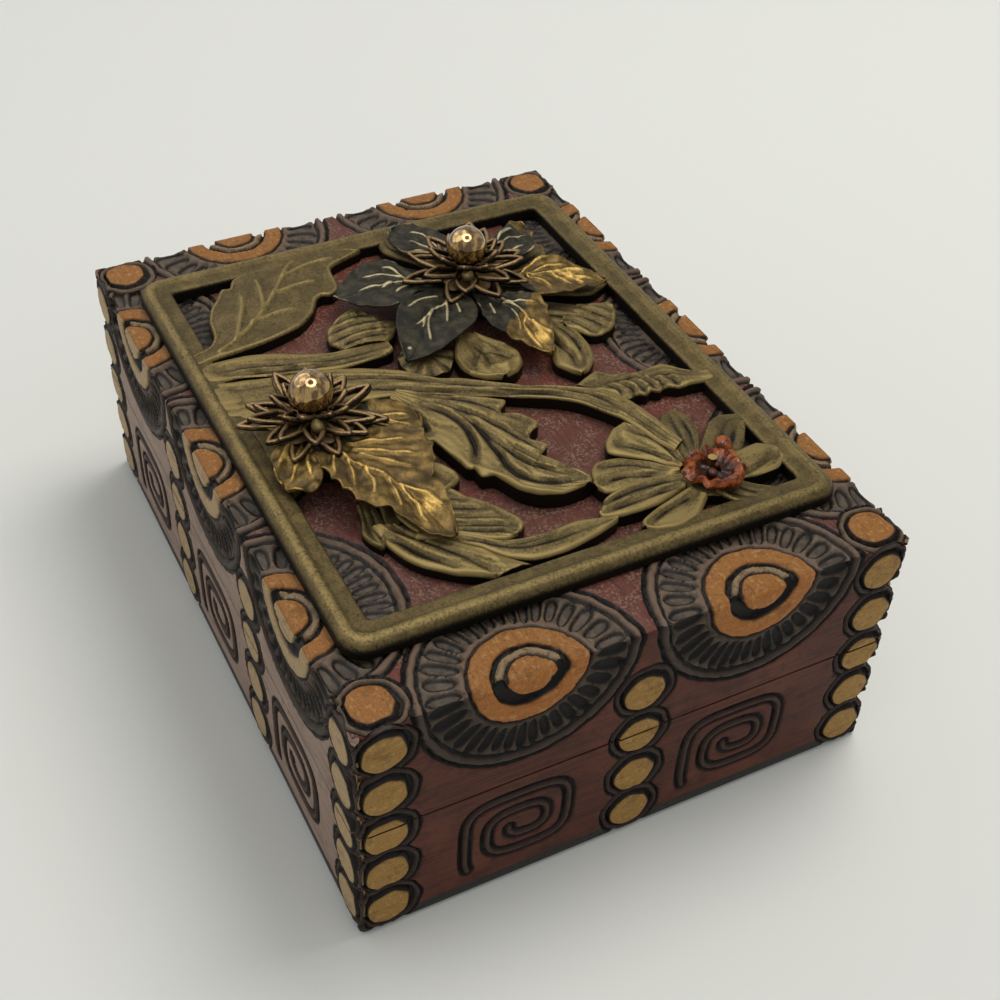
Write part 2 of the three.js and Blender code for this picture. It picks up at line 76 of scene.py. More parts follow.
class Wire:
    """A node's output. Arithmetic on it adds Math nodes."""

    def __init__(self, finish, socket):
        self.finish = finish
        self.socket = socket

    def __add__(self, other):
        return self.finish.maths("ADD", self, other)

    def __radd__(self, other):
        return self.finish.maths("ADD", other, self)

    def __sub__(self, other):
        return self.finish.maths("SUBTRACT", self, other)

    def __rsub__(self, other):
        return self.finish.maths("SUBTRACT", other, self)

    def __mul__(self, other):
        return self.finish.maths("MULTIPLY", self, other)

    def __rmul__(self, other):
        return self.finish.maths("MULTIPLY", other, self)

    def __truediv__(self, other):
        return self.finish.maths("DIVIDE", self, other)

    def __lt__(self, other):
        return self.finish.maths("LESS_THAN", self, other)

    def __gt__(self, other):
        return self.finish.maths("GREATER_THAN", self, other)

    def __abs__(self):
        return self.finish.maths("ABSOLUTE", self)


class Finish:
    """A material on one Principled shader."""

    def __init__(self, name, **constants):
        self.material = bpy.data.materials.new(name)
        self.material.use_nodes = True
        self.tree = self.material.node_tree
        self.shader = self.tree.nodes["Principled BSDF"]
        for socket, value in constants.items():
            self.shader.inputs[socket.replace("_", " ")].default_value = value

    def add(self, kind, settings, sockets, out=0):
        """One node of that kind: its settings, then the values or wires of its sockets."""
        node = self.tree.nodes.new(kind)
        for name, value in settings.items():
            if name == "stops":
                self.set_stops(node.color_ramp, value)
            else:
                setattr(node, name, value)
        for name, value in sockets.items():
            self.feed(node.inputs[name], value)
        return Wire(self, node.outputs[out])

    def feed(self, socket, value):
        if isinstance(value, Wire):
            self.tree.links.new(value.socket, socket)
        else:
            socket.default_value = value

    @staticmethod
    def set_stops(ramp, stops):
        while len(ramp.elements) < len(stops):
            ramp.elements.new(1.0)
        for element, (place, colour) in zip(ramp.elements, stops):
            element.position = place
            element.color = colour

    def maths(self, operation, *values):
        return self.add("ShaderNodeMath", {"operation": operation}, dict(enumerate(values)))

    def step(self, value, low, high):
        """0 under low, 1 over high and smooth between them."""
        sockets = {"Value": value, "From Min": low, "From Max": high}
        return self.add("ShaderNodeMapRange", {"interpolation_type": "SMOOTHSTEP"}, sockets)

    def mix(self, factor, first, second, blend="MIX"):
        settings = {"data_type": "RGBA", "blend_type": blend}
        return self.add("ShaderNodeMix", settings, {0: factor, 6: first, 7: second}, out=2)

    def ramp(self, value, stops, reach=1.0):
        """A colour that follows the value; the stops are places from 0 to reach."""
        placed = [(place / reach, colour) for place, colour in stops]
        return self.add("ShaderNodeValToRGB", {"stops": placed}, {"Fac": value / reach})

    def attribute(self, name):
        return self.add("ShaderNodeAttribute", {"attribute_name": name}, {}, out=2)

    def place(self, stretch=(1, 1, 1)):
        """The surface's own place in millimetres, stretched."""
        where = self.add("ShaderNodeTexCoord", {}, {}, out=3)
        scale = tuple(share / MM for share in stretch)
        return self.add("ShaderNodeVectorMath", {"operation": "MULTIPLY"}, {0: where, 1: scale})

    def upward(self):
        """How far the surface faces up, from -1 to 1."""
        split = self.tree.nodes.new("ShaderNodeSeparateXYZ")
        self.feed(split.inputs[0], self.add("ShaderNodeTexCoord", {}, {}, out=1))
        return Wire(self, split.outputs[2])

    def axes(self):
        """The three coordinates of the surface's place, in millimetres."""
        split = self.tree.nodes.new("ShaderNodeSeparateXYZ")
        self.feed(split.inputs[0], self.place())
        return [Wire(self, output) for output in split.outputs]

    def noise(self, scale, stretch=(1, 1, 1), detail=3.0, roughness=0.55):
        sockets = {"Vector": self.place(stretch), "Scale": scale, "Detail": detail, "Roughness": roughness}
        return self.add("ShaderNodeTexNoise", {}, sockets)

    def within(self, value, low, high):
        """1 between two bounds and 0 outside them."""
        return (value > low) * (value < high)

    def bump(self, height, distance, strength=1.0, normal=None):
        sockets = {"Height": height, "Distance": distance * MM, "Strength": strength}
        if normal is not None:
            sockets["Normal"] = normal
        return self.add("ShaderNodeBump", {}, sockets)

    def dress(self, **varying):
        """Feeds the shader's sockets that change over the surface."""
        for socket, value in varying.items():
            self.feed(self.shader.inputs[socket.replace("_", " ")], value)
        return self.material


# Making pieces


def set_out(name, data):
    """A new object in the scene, at the origin."""
    thing = bpy.data.objects.new(name, data)
    bpy.context.scene.collection.objects.link(thing)
    return thing


def settle(bm, name, body, finish, replaced):
    """Turns a bmesh in millimetres into a finished piece that rides on a body."""
    bmesh.ops.scale(bm, vec=(MM, MM, MM), verts=bm.verts)
    mesh = bpy.data.meshes.new(name)
    bm.to_mesh(mesh)
    bm.free()
    return settle_mesh(mesh, name, body, finish, replaced)


def settle_mesh(mesh, name, body, finish, replaced, crease=50):
    mesh.shade_smooth()
    mesh.set_sharp_from_angle(angle=math.radians(crease))
    mesh.materials.clear()
    mesh.materials.append(finish)
    piece = set_out(name, mesh)
    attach(piece, body)
    if replaced:
        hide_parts(*replaced)
    return piece


def faces_of(verts):
    return list({face for vert in verts for face in vert.link_faces})


def edges_of(verts):
    return list({edge for vert in verts for edge in vert.link_edges})


# Lines


def dense_line(points, softness=1.0, steps=60):
    """Evenly paced places on a line through a few points, rounded at them by the softness."""
    knots = np.array(points, float)
    padded = np.vstack([2 * knots[0] - knots[1], knots, 2 * knots[-1] - knots[-2]])
    place = np.linspace(0, len(knots) - 1, 30 * len(knots))
    k = np.minimum(place.astype(int), len(knots) - 2)
    f = (place - k)[:, None]
    a, b, c, d = (padded[k + shift] for shift in range(4))
    straight = b + (c - b) * f
    second = 2 * a - 5 * b + 4 * c - d
    third = 3 * b - a - 3 * c + d
    curved = 0.5 * (2 * b + (c - a) * f + second * f ** 2 + third * f ** 3)
    line = softness * curved + (1 - softness) * straight
    run = np.concatenate([[0], np.cumsum(np.linalg.norm(np.diff(line, axis=0), axis=1))])
    even = np.linspace(0, run[-1], steps)
    return np.column_stack([np.interp(even, run, line[:, axis]) for axis in range(2)])


def walk(line, t):
    """The places at shares t of an evenly paced line."""
    pace = np.linspace(0, 1, len(line))
    return np.column_stack([np.interp(t, pace, line[:, axis]) for axis in range(2)])


def away_from(places, line):
    """Distance from places to a line, and the share of the line at its nearest point."""
    run = np.diff(line, axis=0)
    offset = places[:, None, :] - line[:-1]
    share = np.clip((offset * run).sum(2) / np.maximum((run ** 2).sum(1), 1e-9), 0, 1)
    gap = np.linalg.norm(offset - share[..., None] * run, axis=2)
    nearest = gap.argmin(axis=1)
    rows = np.arange(len(places))
    return gap[rows, nearest], (nearest + share[rows, nearest]) / len(run)


# The carved pattern. Each profile is a list of distances from the middle of a motif and heights
# over the plain board, in millimetres.

FIELD = -0.25
DISC_R = 3.7
DISC_REACH = 5.9
DISC_PROFILE = [
    (0, 0), (3.4, 0), (3.7, -0.15), (3.95, -1.0), (4.35, -1.0), (4.65, -0.35), (4.95, -0.12),
    (5.2, -0.3), (5.5, -0.85), (DISC_REACH, FIELD),
]
DISC_LEAN = 0.38  # the ring round a disc is wider at its upper right
SUN_REACH = 19.4
SUN_RIM_PROFILE = [
    (6.2, -0.9), (6.45, -0.2), (6.65, -0.03), (9.4, -0.03), (9.7, -0.6), (10.0, -0.6), (10.25, -0.2),
    (10.7, -0.2), (11.0, -0.35), (16.5, -0.35), (16.9, -0.85), (17.25, -0.6), (17.6, 0), (18.15, 0),
    (18.5, -0.4), (18.9, -0.9), (SUN_REACH, FIELD),
]
SUN_TOP_PROFILE = [
    (0, 0), (3.75, 0), (4.0, -0.6), (4.3, -0.6), (4.5, -0.12), (5.4, -0.1), (5.6, -0.9), *SUN_RIM_PROFILE,
]
SUN_SIDE_PROFILE = [(0, 0), (3.95, 0), (4.25, -1.1), (5.9, -1.15), *SUN_RIM_PROFILE]
SCROLL_REACH = 1.5
SCROLL_PROFILE = [
    (0, -0.04), (0.35, -0.12), (0.65, -0.85), (1.0, -0.8), (1.25, -0.35), (SCROLL_REACH, FIELD),
]
FLUTES = 18  # gouge cuts round half a sun
FLUTE_CROWDING = 0.25
FLUTE_MIDDLE = 13.75
FLUTE_HALF = 3.2
FLUTE_DEPTH = 0.85
COMB_TEETH = 24  # marks across the ring in the middle of a sun

DISC_INSET = 5.0
CORNER_HEIGHTS = (43.1, 33.2, 23.6, 14.4, 5.4)
MIDDLE_HEIGHTS = (34.8, 24.7, 14.8, 5.4)
LONG_SUNS = (-39.0, 0.0, 39.0)
SHORT_SUNS = (-20.3, 20.3)
SCROLL_HEIGHT = 13.4
EDGE_SHARE = 2.6  # how far one face's cutting reaches round the edge to the next
EDGE_WEAR = 0.3
NOTCH_DEPTH = 2.5  # the vertical edges are broken between their discs
NOTCH_REACH = 3.1
NOTCH_HALF = 2.1
EDGE_NOTCHES = np.array([38.2, 28.4, 19.0, 9.9])  # heights of the breaks


def squared(share, power):
    return np.sign(share) * np.abs(share) ** power


def scroll_line():
    """The scroll's line: a squared spiral that runs clockwise inwards from its lower left end."""
    turn = np.linspace(0, 2.1, 110)
    angle = math.radians(214) - 2 * math.pi * turn
    half_width = 10.6 - 3.9 * turn
    half_height = 9.2 - 3.7 * turn
    square = 0.42 + 0.25 * turn
    across = half_width * squared(np.cos(angle), square)
    up = half_height * squared(np.sin(angle), square)
    return np.stack([across, up], axis=1)


SCROLL_LINE = scroll_line()
SCROLL_BOX = (13, 11.5)  # no part of a scroll lies further from its middle, across or up


def scroll_distance(across, up):
    """Distance from points, given round a scroll's middle, to its line."""
    distance = np.full(len(across), FAR)
    near = np.flatnonzero((np.abs(across) < SCROLL_BOX[0]) & (np.abs(up) < SCROLL_BOX[1]))
    if len(near):
        distance[near], _ = away_from(np.stack([across[near], up[near]], axis=1), SCROLL_LINE)
    return distance


class Face:
    """One outer face of the box with its motifs. A sun is a middle and the direction of its edge."""

    def __init__(self, normal, across, up, reach, sun_profile, suns, discs, scrolls=()):
        self.normal = np.array(normal, float)
        self.across = np.array(across, float)
        self.up = np.array(up, float)
        self.reach = reach
        self.sun_profile = sun_profile
        self.suns = [(np.array(middle, float), np.array(along, float)) for middle, along in suns]
        self.discs = np.array(sorted(discs, key=lambda disc: disc[1]), float)
        self.scrolls = scrolls

    def disc_distance(self, place):
        """Distance to the discs. A lower disc's ring lies over the one above it."""
        away = place[:, None, :] - self.discs
        radius = np.linalg.norm(away, axis=2)
        slant = away.sum(axis=2) / np.maximum(radius, 1e-6) / math.sqrt(2)
        leant = radius - DISC_LEAN * slant * np.clip((radius - 3.5) / 0.8, 0, 1)
        within = leant < DISC_REACH
        rows = np.arange(len(place))
        return np.where(within.any(axis=1), leant[rows, within.argmax(axis=1)], leant.min(axis=1))

    def pattern(self, u, v):
        """Height over the plain board and the distances to the motifs, at points of the face."""
        place = np.stack([u, v], axis=1)
        waver = 0.08 * np.sin(0.9 * u + 1.3 * v) + 0.06 * np.sin(1.9 * u - 1.1 * v + 2)
        disc = self.disc_distance(place) + waver
        sun = np.full(len(u), FAR)
        flute = np.full(len(u), -1.0)
        for middle, along in self.suns:
            away = place - middle
            radius = np.linalg.norm(away, axis=1)
            inward = np.abs(away[:, 0] * along[1] - away[:, 1] * along[0])
            angle = np.arctan2(inward, away @ along)
            crowd = FLUTE_CROWDING * np.sin(2 * angle) / (2 * math.pi)
            beat = np.abs((FLUTES * (angle / math.pi - crowd)) % 1 - 0.5) * 2
            reach = FLUTE_HALF * (1 + 0.12 * np.sin(9.7 * angle + middle[0]))
            lens = 1 - ((radius - FLUTE_MIDDLE) / reach) ** 4 - 0.84 * beat ** 1.3
            comb = np.cos(2 * COMB_TEETH * angle)
            marks = np.where(radius < 7, comb, np.maximum(lens, -1))
            nearer = radius < sun
            sun = np.where(nearer, radius, sun)
            flute = np.where(nearer, marks, flute)
        sun = sun + waver * (sun < FAR)
        scroll = np.full(len(u), FAR)
        for middle in self.scrolls:
            scroll = np.minimum(scroll, scroll_distance(u - middle, v - SCROLL_HEIGHT))
        height = np.where(scroll < SCROLL_REACH, np.interp(scroll, *zip(*SCROLL_PROFILE)), FIELD)
        gouged = FLUTE_DEPTH * np.clip(1.5 * flute, 0, 1) * (sun > 10.5)
        sun_height = np.interp(sun, *zip(*self.sun_profile)) - gouged
        height = np.where(sun < SUN_REACH, sun_height, height)
        height = np.where(disc < DISC_REACH, np.interp(disc, *zip(*DISC_PROFILE)), height)
        return height, {"disc": disc, "sun": sun, "scroll": scroll, "flute": flute}


def side_discs(half_run, middles):
    columns = [(side * (half_run - DISC_INSET), height) for side in (-1, 1) for height in CORNER_HEIGHTS]
    return columns + [(middle, height) for middle in middles for height in MIDDLE_HEIGHTS]


def between(places):
    return [(a + b) / 2 for a, b in zip(places, places[1:])]


def side_face(normal, across, reach, half_run, suns):
    row = [((place, TOP_Z), (1, 0)) for place in suns]
    discs = side_discs(half_run, between(suns))
    return Face(normal, across, (0, 0, 1), reach, SUN_SIDE_PROFILE, row, discs, suns)


TOP_SUNS = [((x, side * HALF_Y), (1, 0)) for x in LONG_SUNS for side in (-1, 1)]
TOP_SUNS += [((side * HALF_X, y), (0, 1)) for y in SHORT_SUNS for side in (-1, 1)]
TOP_DISCS = [(i * (HALF_X - DISC_INSET), j * (HALF_Y - DISC_INSET)) for i in (-1, 1) for j in (-1, 1)]
FACES = [
    side_face((0, -1, 0), (1, 0, 0), HALF_Y, HALF_X, LONG_SUNS),
    side_face((1, 0, 0), (0, 1, 0), HALF_X, HALF_Y, SHORT_SUNS),
    side_face((0, 1, 0), (-1, 0, 0), HALF_Y, HALF_X, LONG_SUNS),
    side_face((-1, 0, 0), (0, -1, 0), HALF_X, HALF_Y, SHORT_SUNS),
    Face((0, 0, 1), (1, 0, 0), (0, 1, 0), TOP_Z, SUN_TOP_PROFILE, TOP_SUNS, TOP_DISCS),
]


def edge_depths(points):
    """Depth of points behind the five outer faces, the four sides first."""
    return np.stack([face.reach - points @ face.normal for face in FACES], axis=1)


def upright_depth(points):
    """Distance of points from the nearest vertical edge."""
    return np.sort(edge_depths(points)[:, :4], axis=1)[:, 1]


def edge_wear(points):
    """How much an outer edge of the box has been rubbed down and chipped at each point."""
    second = np.sort(edge_depths(points), axis=1)[:, 1]
    gap = np.abs(points[:, 2, None] - EDGE_NOTCHES).min(axis=1)
    notch = np.clip(1 - gap / NOTCH_HALF, 0, 1) * (0.75 + 0.25 * np.sin(2.1 * points[:, 2] + points[:, 0]))
    wear = EDGE_WEAR * np.clip(1 - second / 1.1, 0, 1) ** 2
    return wear + NOTCH_DEPTH * notch * np.clip(1 - upright_depth(points) / NOTCH_REACH, 0, 1)


def carve(points):
    """Cuts the pattern into points of the plain box: the moved points and the pattern's fields."""
    moved = points.copy()
    fields = {name: np.full(len(points), FAR) for name in ("disc", "sun", "scroll")}
    fields["flute"] = np.full(len(points), -1.0)
    wear = edge_wear(points)
    for face in FACES:
        depth = face.reach - points @ face.normal
        near = np.flatnonzero(depth < EDGE_SHARE)
        height, found = face.pattern(points[near] @ face.across, points[near] @ face.up)
        share = 1 - depth[near] / EDGE_SHARE
        moved[near] += (share * (height - wear[near]))[:, None] * face.normal
        flush = depth[near] < FLUSH
        on = near[flush]
        for name in ("disc", "sun", "scroll"):
            fields[name][on] = np.minimum(fields[name][on], found[name][flush])
        fields["flute"][on] = np.maximum(fields["flute"][on], found["flute"][flush])
    fields["top"] = (points[:, 2] > TOP_Z - FLUSH).astype(float)
    return moved, fields


def heights(points):
    """Height of the pattern on whichever outer face each point lies, and the reach to its motifs."""
    height = np.zeros(len(points))
    reach = np.full(len(points), FAR)
    for face in FACES:
        on = np.flatnonzero(face.reach - points @ face.normal < FLUSH)
        found, fields = face.pattern(points[on] @ face.across, points[on] @ face.up)
        height[on] = found
        beyond = [fields["disc"] - DISC_REACH, fields["sun"] - SUN_REACH, fields["scroll"] - SCROLL_REACH]
        reach[on] = np.minimum.reduce(beyond)
    return height, reach


COARSE_CELL = 2.17
FINE_CELL = 0.24
PLAIN_CELL = 1.2  # the longest edge left inside a motif
COVERED_CELL = 0.45  # under the casting
CORNER_CELL = 0.8  # along the broken vertical edges
SEEN_BEND = 0.035  # a bend of the pattern that needs finer cutting
POCKET_RUN = (24.7, 41.3)  # the hinge leaves' pockets in both back boards
POCKET_FRONT = 43.7
POCKET_DEPTH = 1.2
FOOT_CHAMFER = 0.8


def hidden_under_casting(points):
    """Parts of the lid that the casting's border covers, which need no fine cutting."""
    low, high = node_box("brass_frame")
    inside = (np.abs(points[:, 0]) < high[0] - 0.8) & (np.abs(points[:, 1]) < high[1] - 0.8)
    return inside & (points[:, 2] > TOP_Z - FLUSH)


def refine(bm):
    """Halves the edges where the pattern bends, until they are short enough to show it."""
    while True:
        bm.edges.ensure_lookup_table()
        ends = np.array([(*edge.verts[0].co, *edge.verts[1].co) for edge in bm.edges])
        first, last = ends[:, :3], ends[:, 3:]
        middle = (first + last) / 2
        length = np.linalg.norm(last - first, axis=1)
        (h0, _), (h1, _), (h2, reach) = heights(first), heights(last), heights(middle)
        quarter, _ = heights(first * 0.75 + last * 0.25)
        bend = np.maximum(np.abs(h0 + h1 - 2 * h2), 2 * np.abs(0.75 * h0 + 0.25 * h1 - quarter))
        close = reach < length
        finest = np.where(hidden_under_casting(middle), COVERED_CELL, FINE_CELL)
        wanted = close & (length > finest * 1.3) & ((bend > SEEN_BEND) | (length > PLAIN_CELL))
        wanted |= (upright_depth(middle) < NOTCH_REACH) & (length > CORNER_CELL)
        chosen = [bm.edges[i] for i in np.flatnonzero(wanted)]
        if not chosen:
            return
        bmesh.ops.subdivide_edges(bm, edges=chosen, cuts=1, use_grid_fill=True)


def cut_across(bm, axis, place):
    """Cuts a board's faces along a plane across an axis."""
    normal = [0, 0, 0]
    normal[axis] = 1
    point = [value * place for value in normal]
    everything = bm.verts[:] + bm.edges[:] + bm.faces[:]
    bmesh.ops.bisect_plane(bm, geom=everything, plane_co=point, plane_no=normal, dist=1e-5)


def slice_up(bm, axis, low, high):
    """Cuts a board across an axis into coarse cells that line up from board to board."""
    first = math.ceil(low / COARSE_CELL + 0.2)
    for k in range(first, math.floor(high / COARSE_CELL - 0.2) + 1):
        cut_across(bm, axis, k * COARSE_CELL)


def score_pockets(bm):
    """Cuts the outlines of the hinge pockets, twice, so that their walls come out upright."""
    for offset in (-0.02, 0.02):
        cut_across(bm, 1, POCKET_FRONT + offset)
        for side in (-1, 1):
            for place in POCKET_RUN:
                cut_across(bm, 0, side * place + offset)


def sink_pockets(points, rim, inward):
    """Sinks a back board's rim where the hinge leaves lie."""
    run = np.abs(points[:, 0])
    inside = (run > POCKET_RUN[0]) & (run < POCKET_RUN[1]) & (points[:, 1] > POCKET_FRONT)
    floor = rim + inward * POCKET_DEPTH
    above = inside & (inward * (points[:, 2] - floor) < 0)
    points[above, 2] = floor


def chamfer_foot(points):
    """Draws the bottom edges of the bottom board in."""
    draw_in = np.clip(FOOT_CHAMFER - points[:, 2], 0, None)
    for axis, half in ((0, HALF_X), (1, HALF_Y)):
        points[:, axis] = np.clip(points[:, axis], draw_in - half, half - draw_in)


def carved_board(node, body, finish, mitre=0.0, run_axis=0, inward=(0, 0)):
    """A board of the frame's size, mitred inwards at both ends, with its outer faces carved."""
    low, high = node_box(node)
    middle = (high + low) / 2
    bm = bmesh.new()
    verts = bmesh.ops.create_cube(bm, size=1)["verts"]
    bmesh.ops.scale(bm, vec=high - low, verts=verts)
    bmesh.ops.translate(bm, vec=middle, verts=verts)
    for vert in verts:
        inner = (vert.co.x - middle[0]) * inward[0] + (vert.co.y - middle[1]) * inward[1] > 0
        if mitre and inner:
            vert.co[run_axis] -= math.copysign(mitre, vert.co[run_axis])
    for axis in range(3):
        slice_up(bm, axis, low[axis], high[axis])
    if node.endswith("_back"):
        score_pockets(bm)
    if node == "bottom_board":
        cut_across(bm, 2, FOOT_CHAMFER)
    refine(bm)
    mesh = bpy.data.meshes.new(node + "_carved")
    bm.to_mesh(mesh)
    bm.free()
    plain = np.zeros(len(mesh.vertices) * 3)
    mesh.vertices.foreach_get("co", plain)
    plain = plain.reshape(-1, 3)
    if node == "base_back":
        sink_pockets(plain, high[2], -1)
    if node == "lid_back":
        sink_pockets(plain, low[2], 1)
    if node == "bottom_board":
        chamfer_foot(plain)
    moved, fields = carve(plain)
    mesh.vertices.foreach_set("co", (moved * MM).ravel())
    for name, values in fields.items():
        layer = mesh.attributes.new(name, "FLOAT", "POINT")
        layer.data.foreach_set("value", values.astype(np.float32))
    return settle_mesh(mesh, node + "_carved", body, finish, [node])


# The wood's finish

NATURAL_TOP = paint(148, 99, 48)
NATURAL_SIDE = paint(158, 122, 64)
NATURAL_SUN = paint(166, 106, 50)
# Painted sheen: the paler colour on the next line stands in for the light that the long sides catch.
NATURAL_PAINTED_SHEEN = paint(178, 152, 112)
FIELD_RED = paint(90, 46, 31)
FIELD_DARK = paint(60, 30, 22)
FIELD_LIGHT = paint(124, 70, 46)
# Painted sheen: the two paler field colours on the next lines stand in for the light that the long sides
# catch.
FIELD_PAINTED_SHEEN = paint(176, 152, 134)
FIELD_PAINTED_SHEEN_DARK = paint(138, 114, 100)
FIELD_TOP = paint(100, 57, 46)
FIELD_TOP_RED = paint(114, 54, 43)
GROOVE = paint(26, 18, 14)
SOOT = paint(16, 13, 11)
RING_SIDE = paint(56, 43, 36)
RING_TOP = paint(106, 88, 70)
FLUTE_SIDE = paint(34, 28, 25)
FLUTE_TOP = paint(60, 51, 43)
BORDER_SIDE = paint(68, 54, 44)
BORDER_TOP = paint(106, 86, 70)
COMB_TAN = paint(134, 112, 82)
BARE_WOOD = paint(186, 146, 98)
BARE_GRAIN = paint(154, 112, 68)
DUST = paint(152, 128, 110)
SCRATCHED = paint(130, 84, 60)
CHIPPED = paint(150, 124, 78)
RIDGE_SIDE = paint(92, 78, 62)
RIDGE_TOP = paint(122, 104, 84)
FLUTE_DRY = paint(106, 94, 80)
COMB_MARK = paint(70, 54, 38)
PORE_TINT = paint(150, 112, 82)
RUBBED = paint(196, 160, 104)
STAIN_TINT = paint(120, 100, 84)
FOOT_DARK = paint(34, 32, 29)
FOOT_LIGHT = paint(62, 58, 52)

# Bands of distance from a sun's middle
CORE_BAND = 3.8
COMB_BAND = (4.4, 5.5)
RING_BAND = (6.45, 9.5)
FLUTE_BAND = (10.9, 16.7)

# Heights and depths where the wood's finish changes
FOOT_BAND = 2.85
CHIP_WIDTH = 1.6
STAIN_DEPTH = (1.5, 1.7)
INNER_FLOOR = 3.4
INNER_CEILING = TOP_Z - 6.6


def sun_rim_stops(natural, flute, border):
    return [
        (6.35, SOOT), (6.5, natural), (9.4, natural), (9.6, GROOVE), (10.0, GROOVE), (10.25, border),
        (10.8, border), (11.05, flute), (16.6, flute), (16.8, SOOT), (17.25, SOOT), (17.5, border),
        (18.25, border), (18.6, SOOT), (19.1, SOOT), (SUN_REACH, GROOVE),
    ]


def sun_top_stops():
    middle = [(0, NATURAL_TOP), (3.7, NATURAL_TOP), (3.9, GROOVE), (4.3, GROOVE), (4.5, COMB_TAN),
              (5.4, COMB_TAN)]
    return middle + [(5.6, SOOT)] + sun_rim_stops(NATURAL_TOP, FLUTE_TOP, BORDER_TOP)


def sun_side_stops(natural):
    middle = [(0, natural), (3.85, natural), (4.1, SOOT)]
    return middle + sun_rim_stops(natural, FLUTE_SIDE, BORDER_SIDE)


def disc_stops(natural, ring):
    return [
        (0, natural), (3.45, natural), (3.65, GROOVE), (4.4, SOOT), (4.7, ring), (5.25, ring),
        (5.45, SOOT), (DISC_REACH, GROOVE),
    ]


SCROLL_STOPS = [
    (0, paint(72, 48, 36)), (0.35, paint(58, 37, 28)), (0.55, SOOT), (1.05, SOOT), (SCROLL_REACH, FIELD_DARK),
]


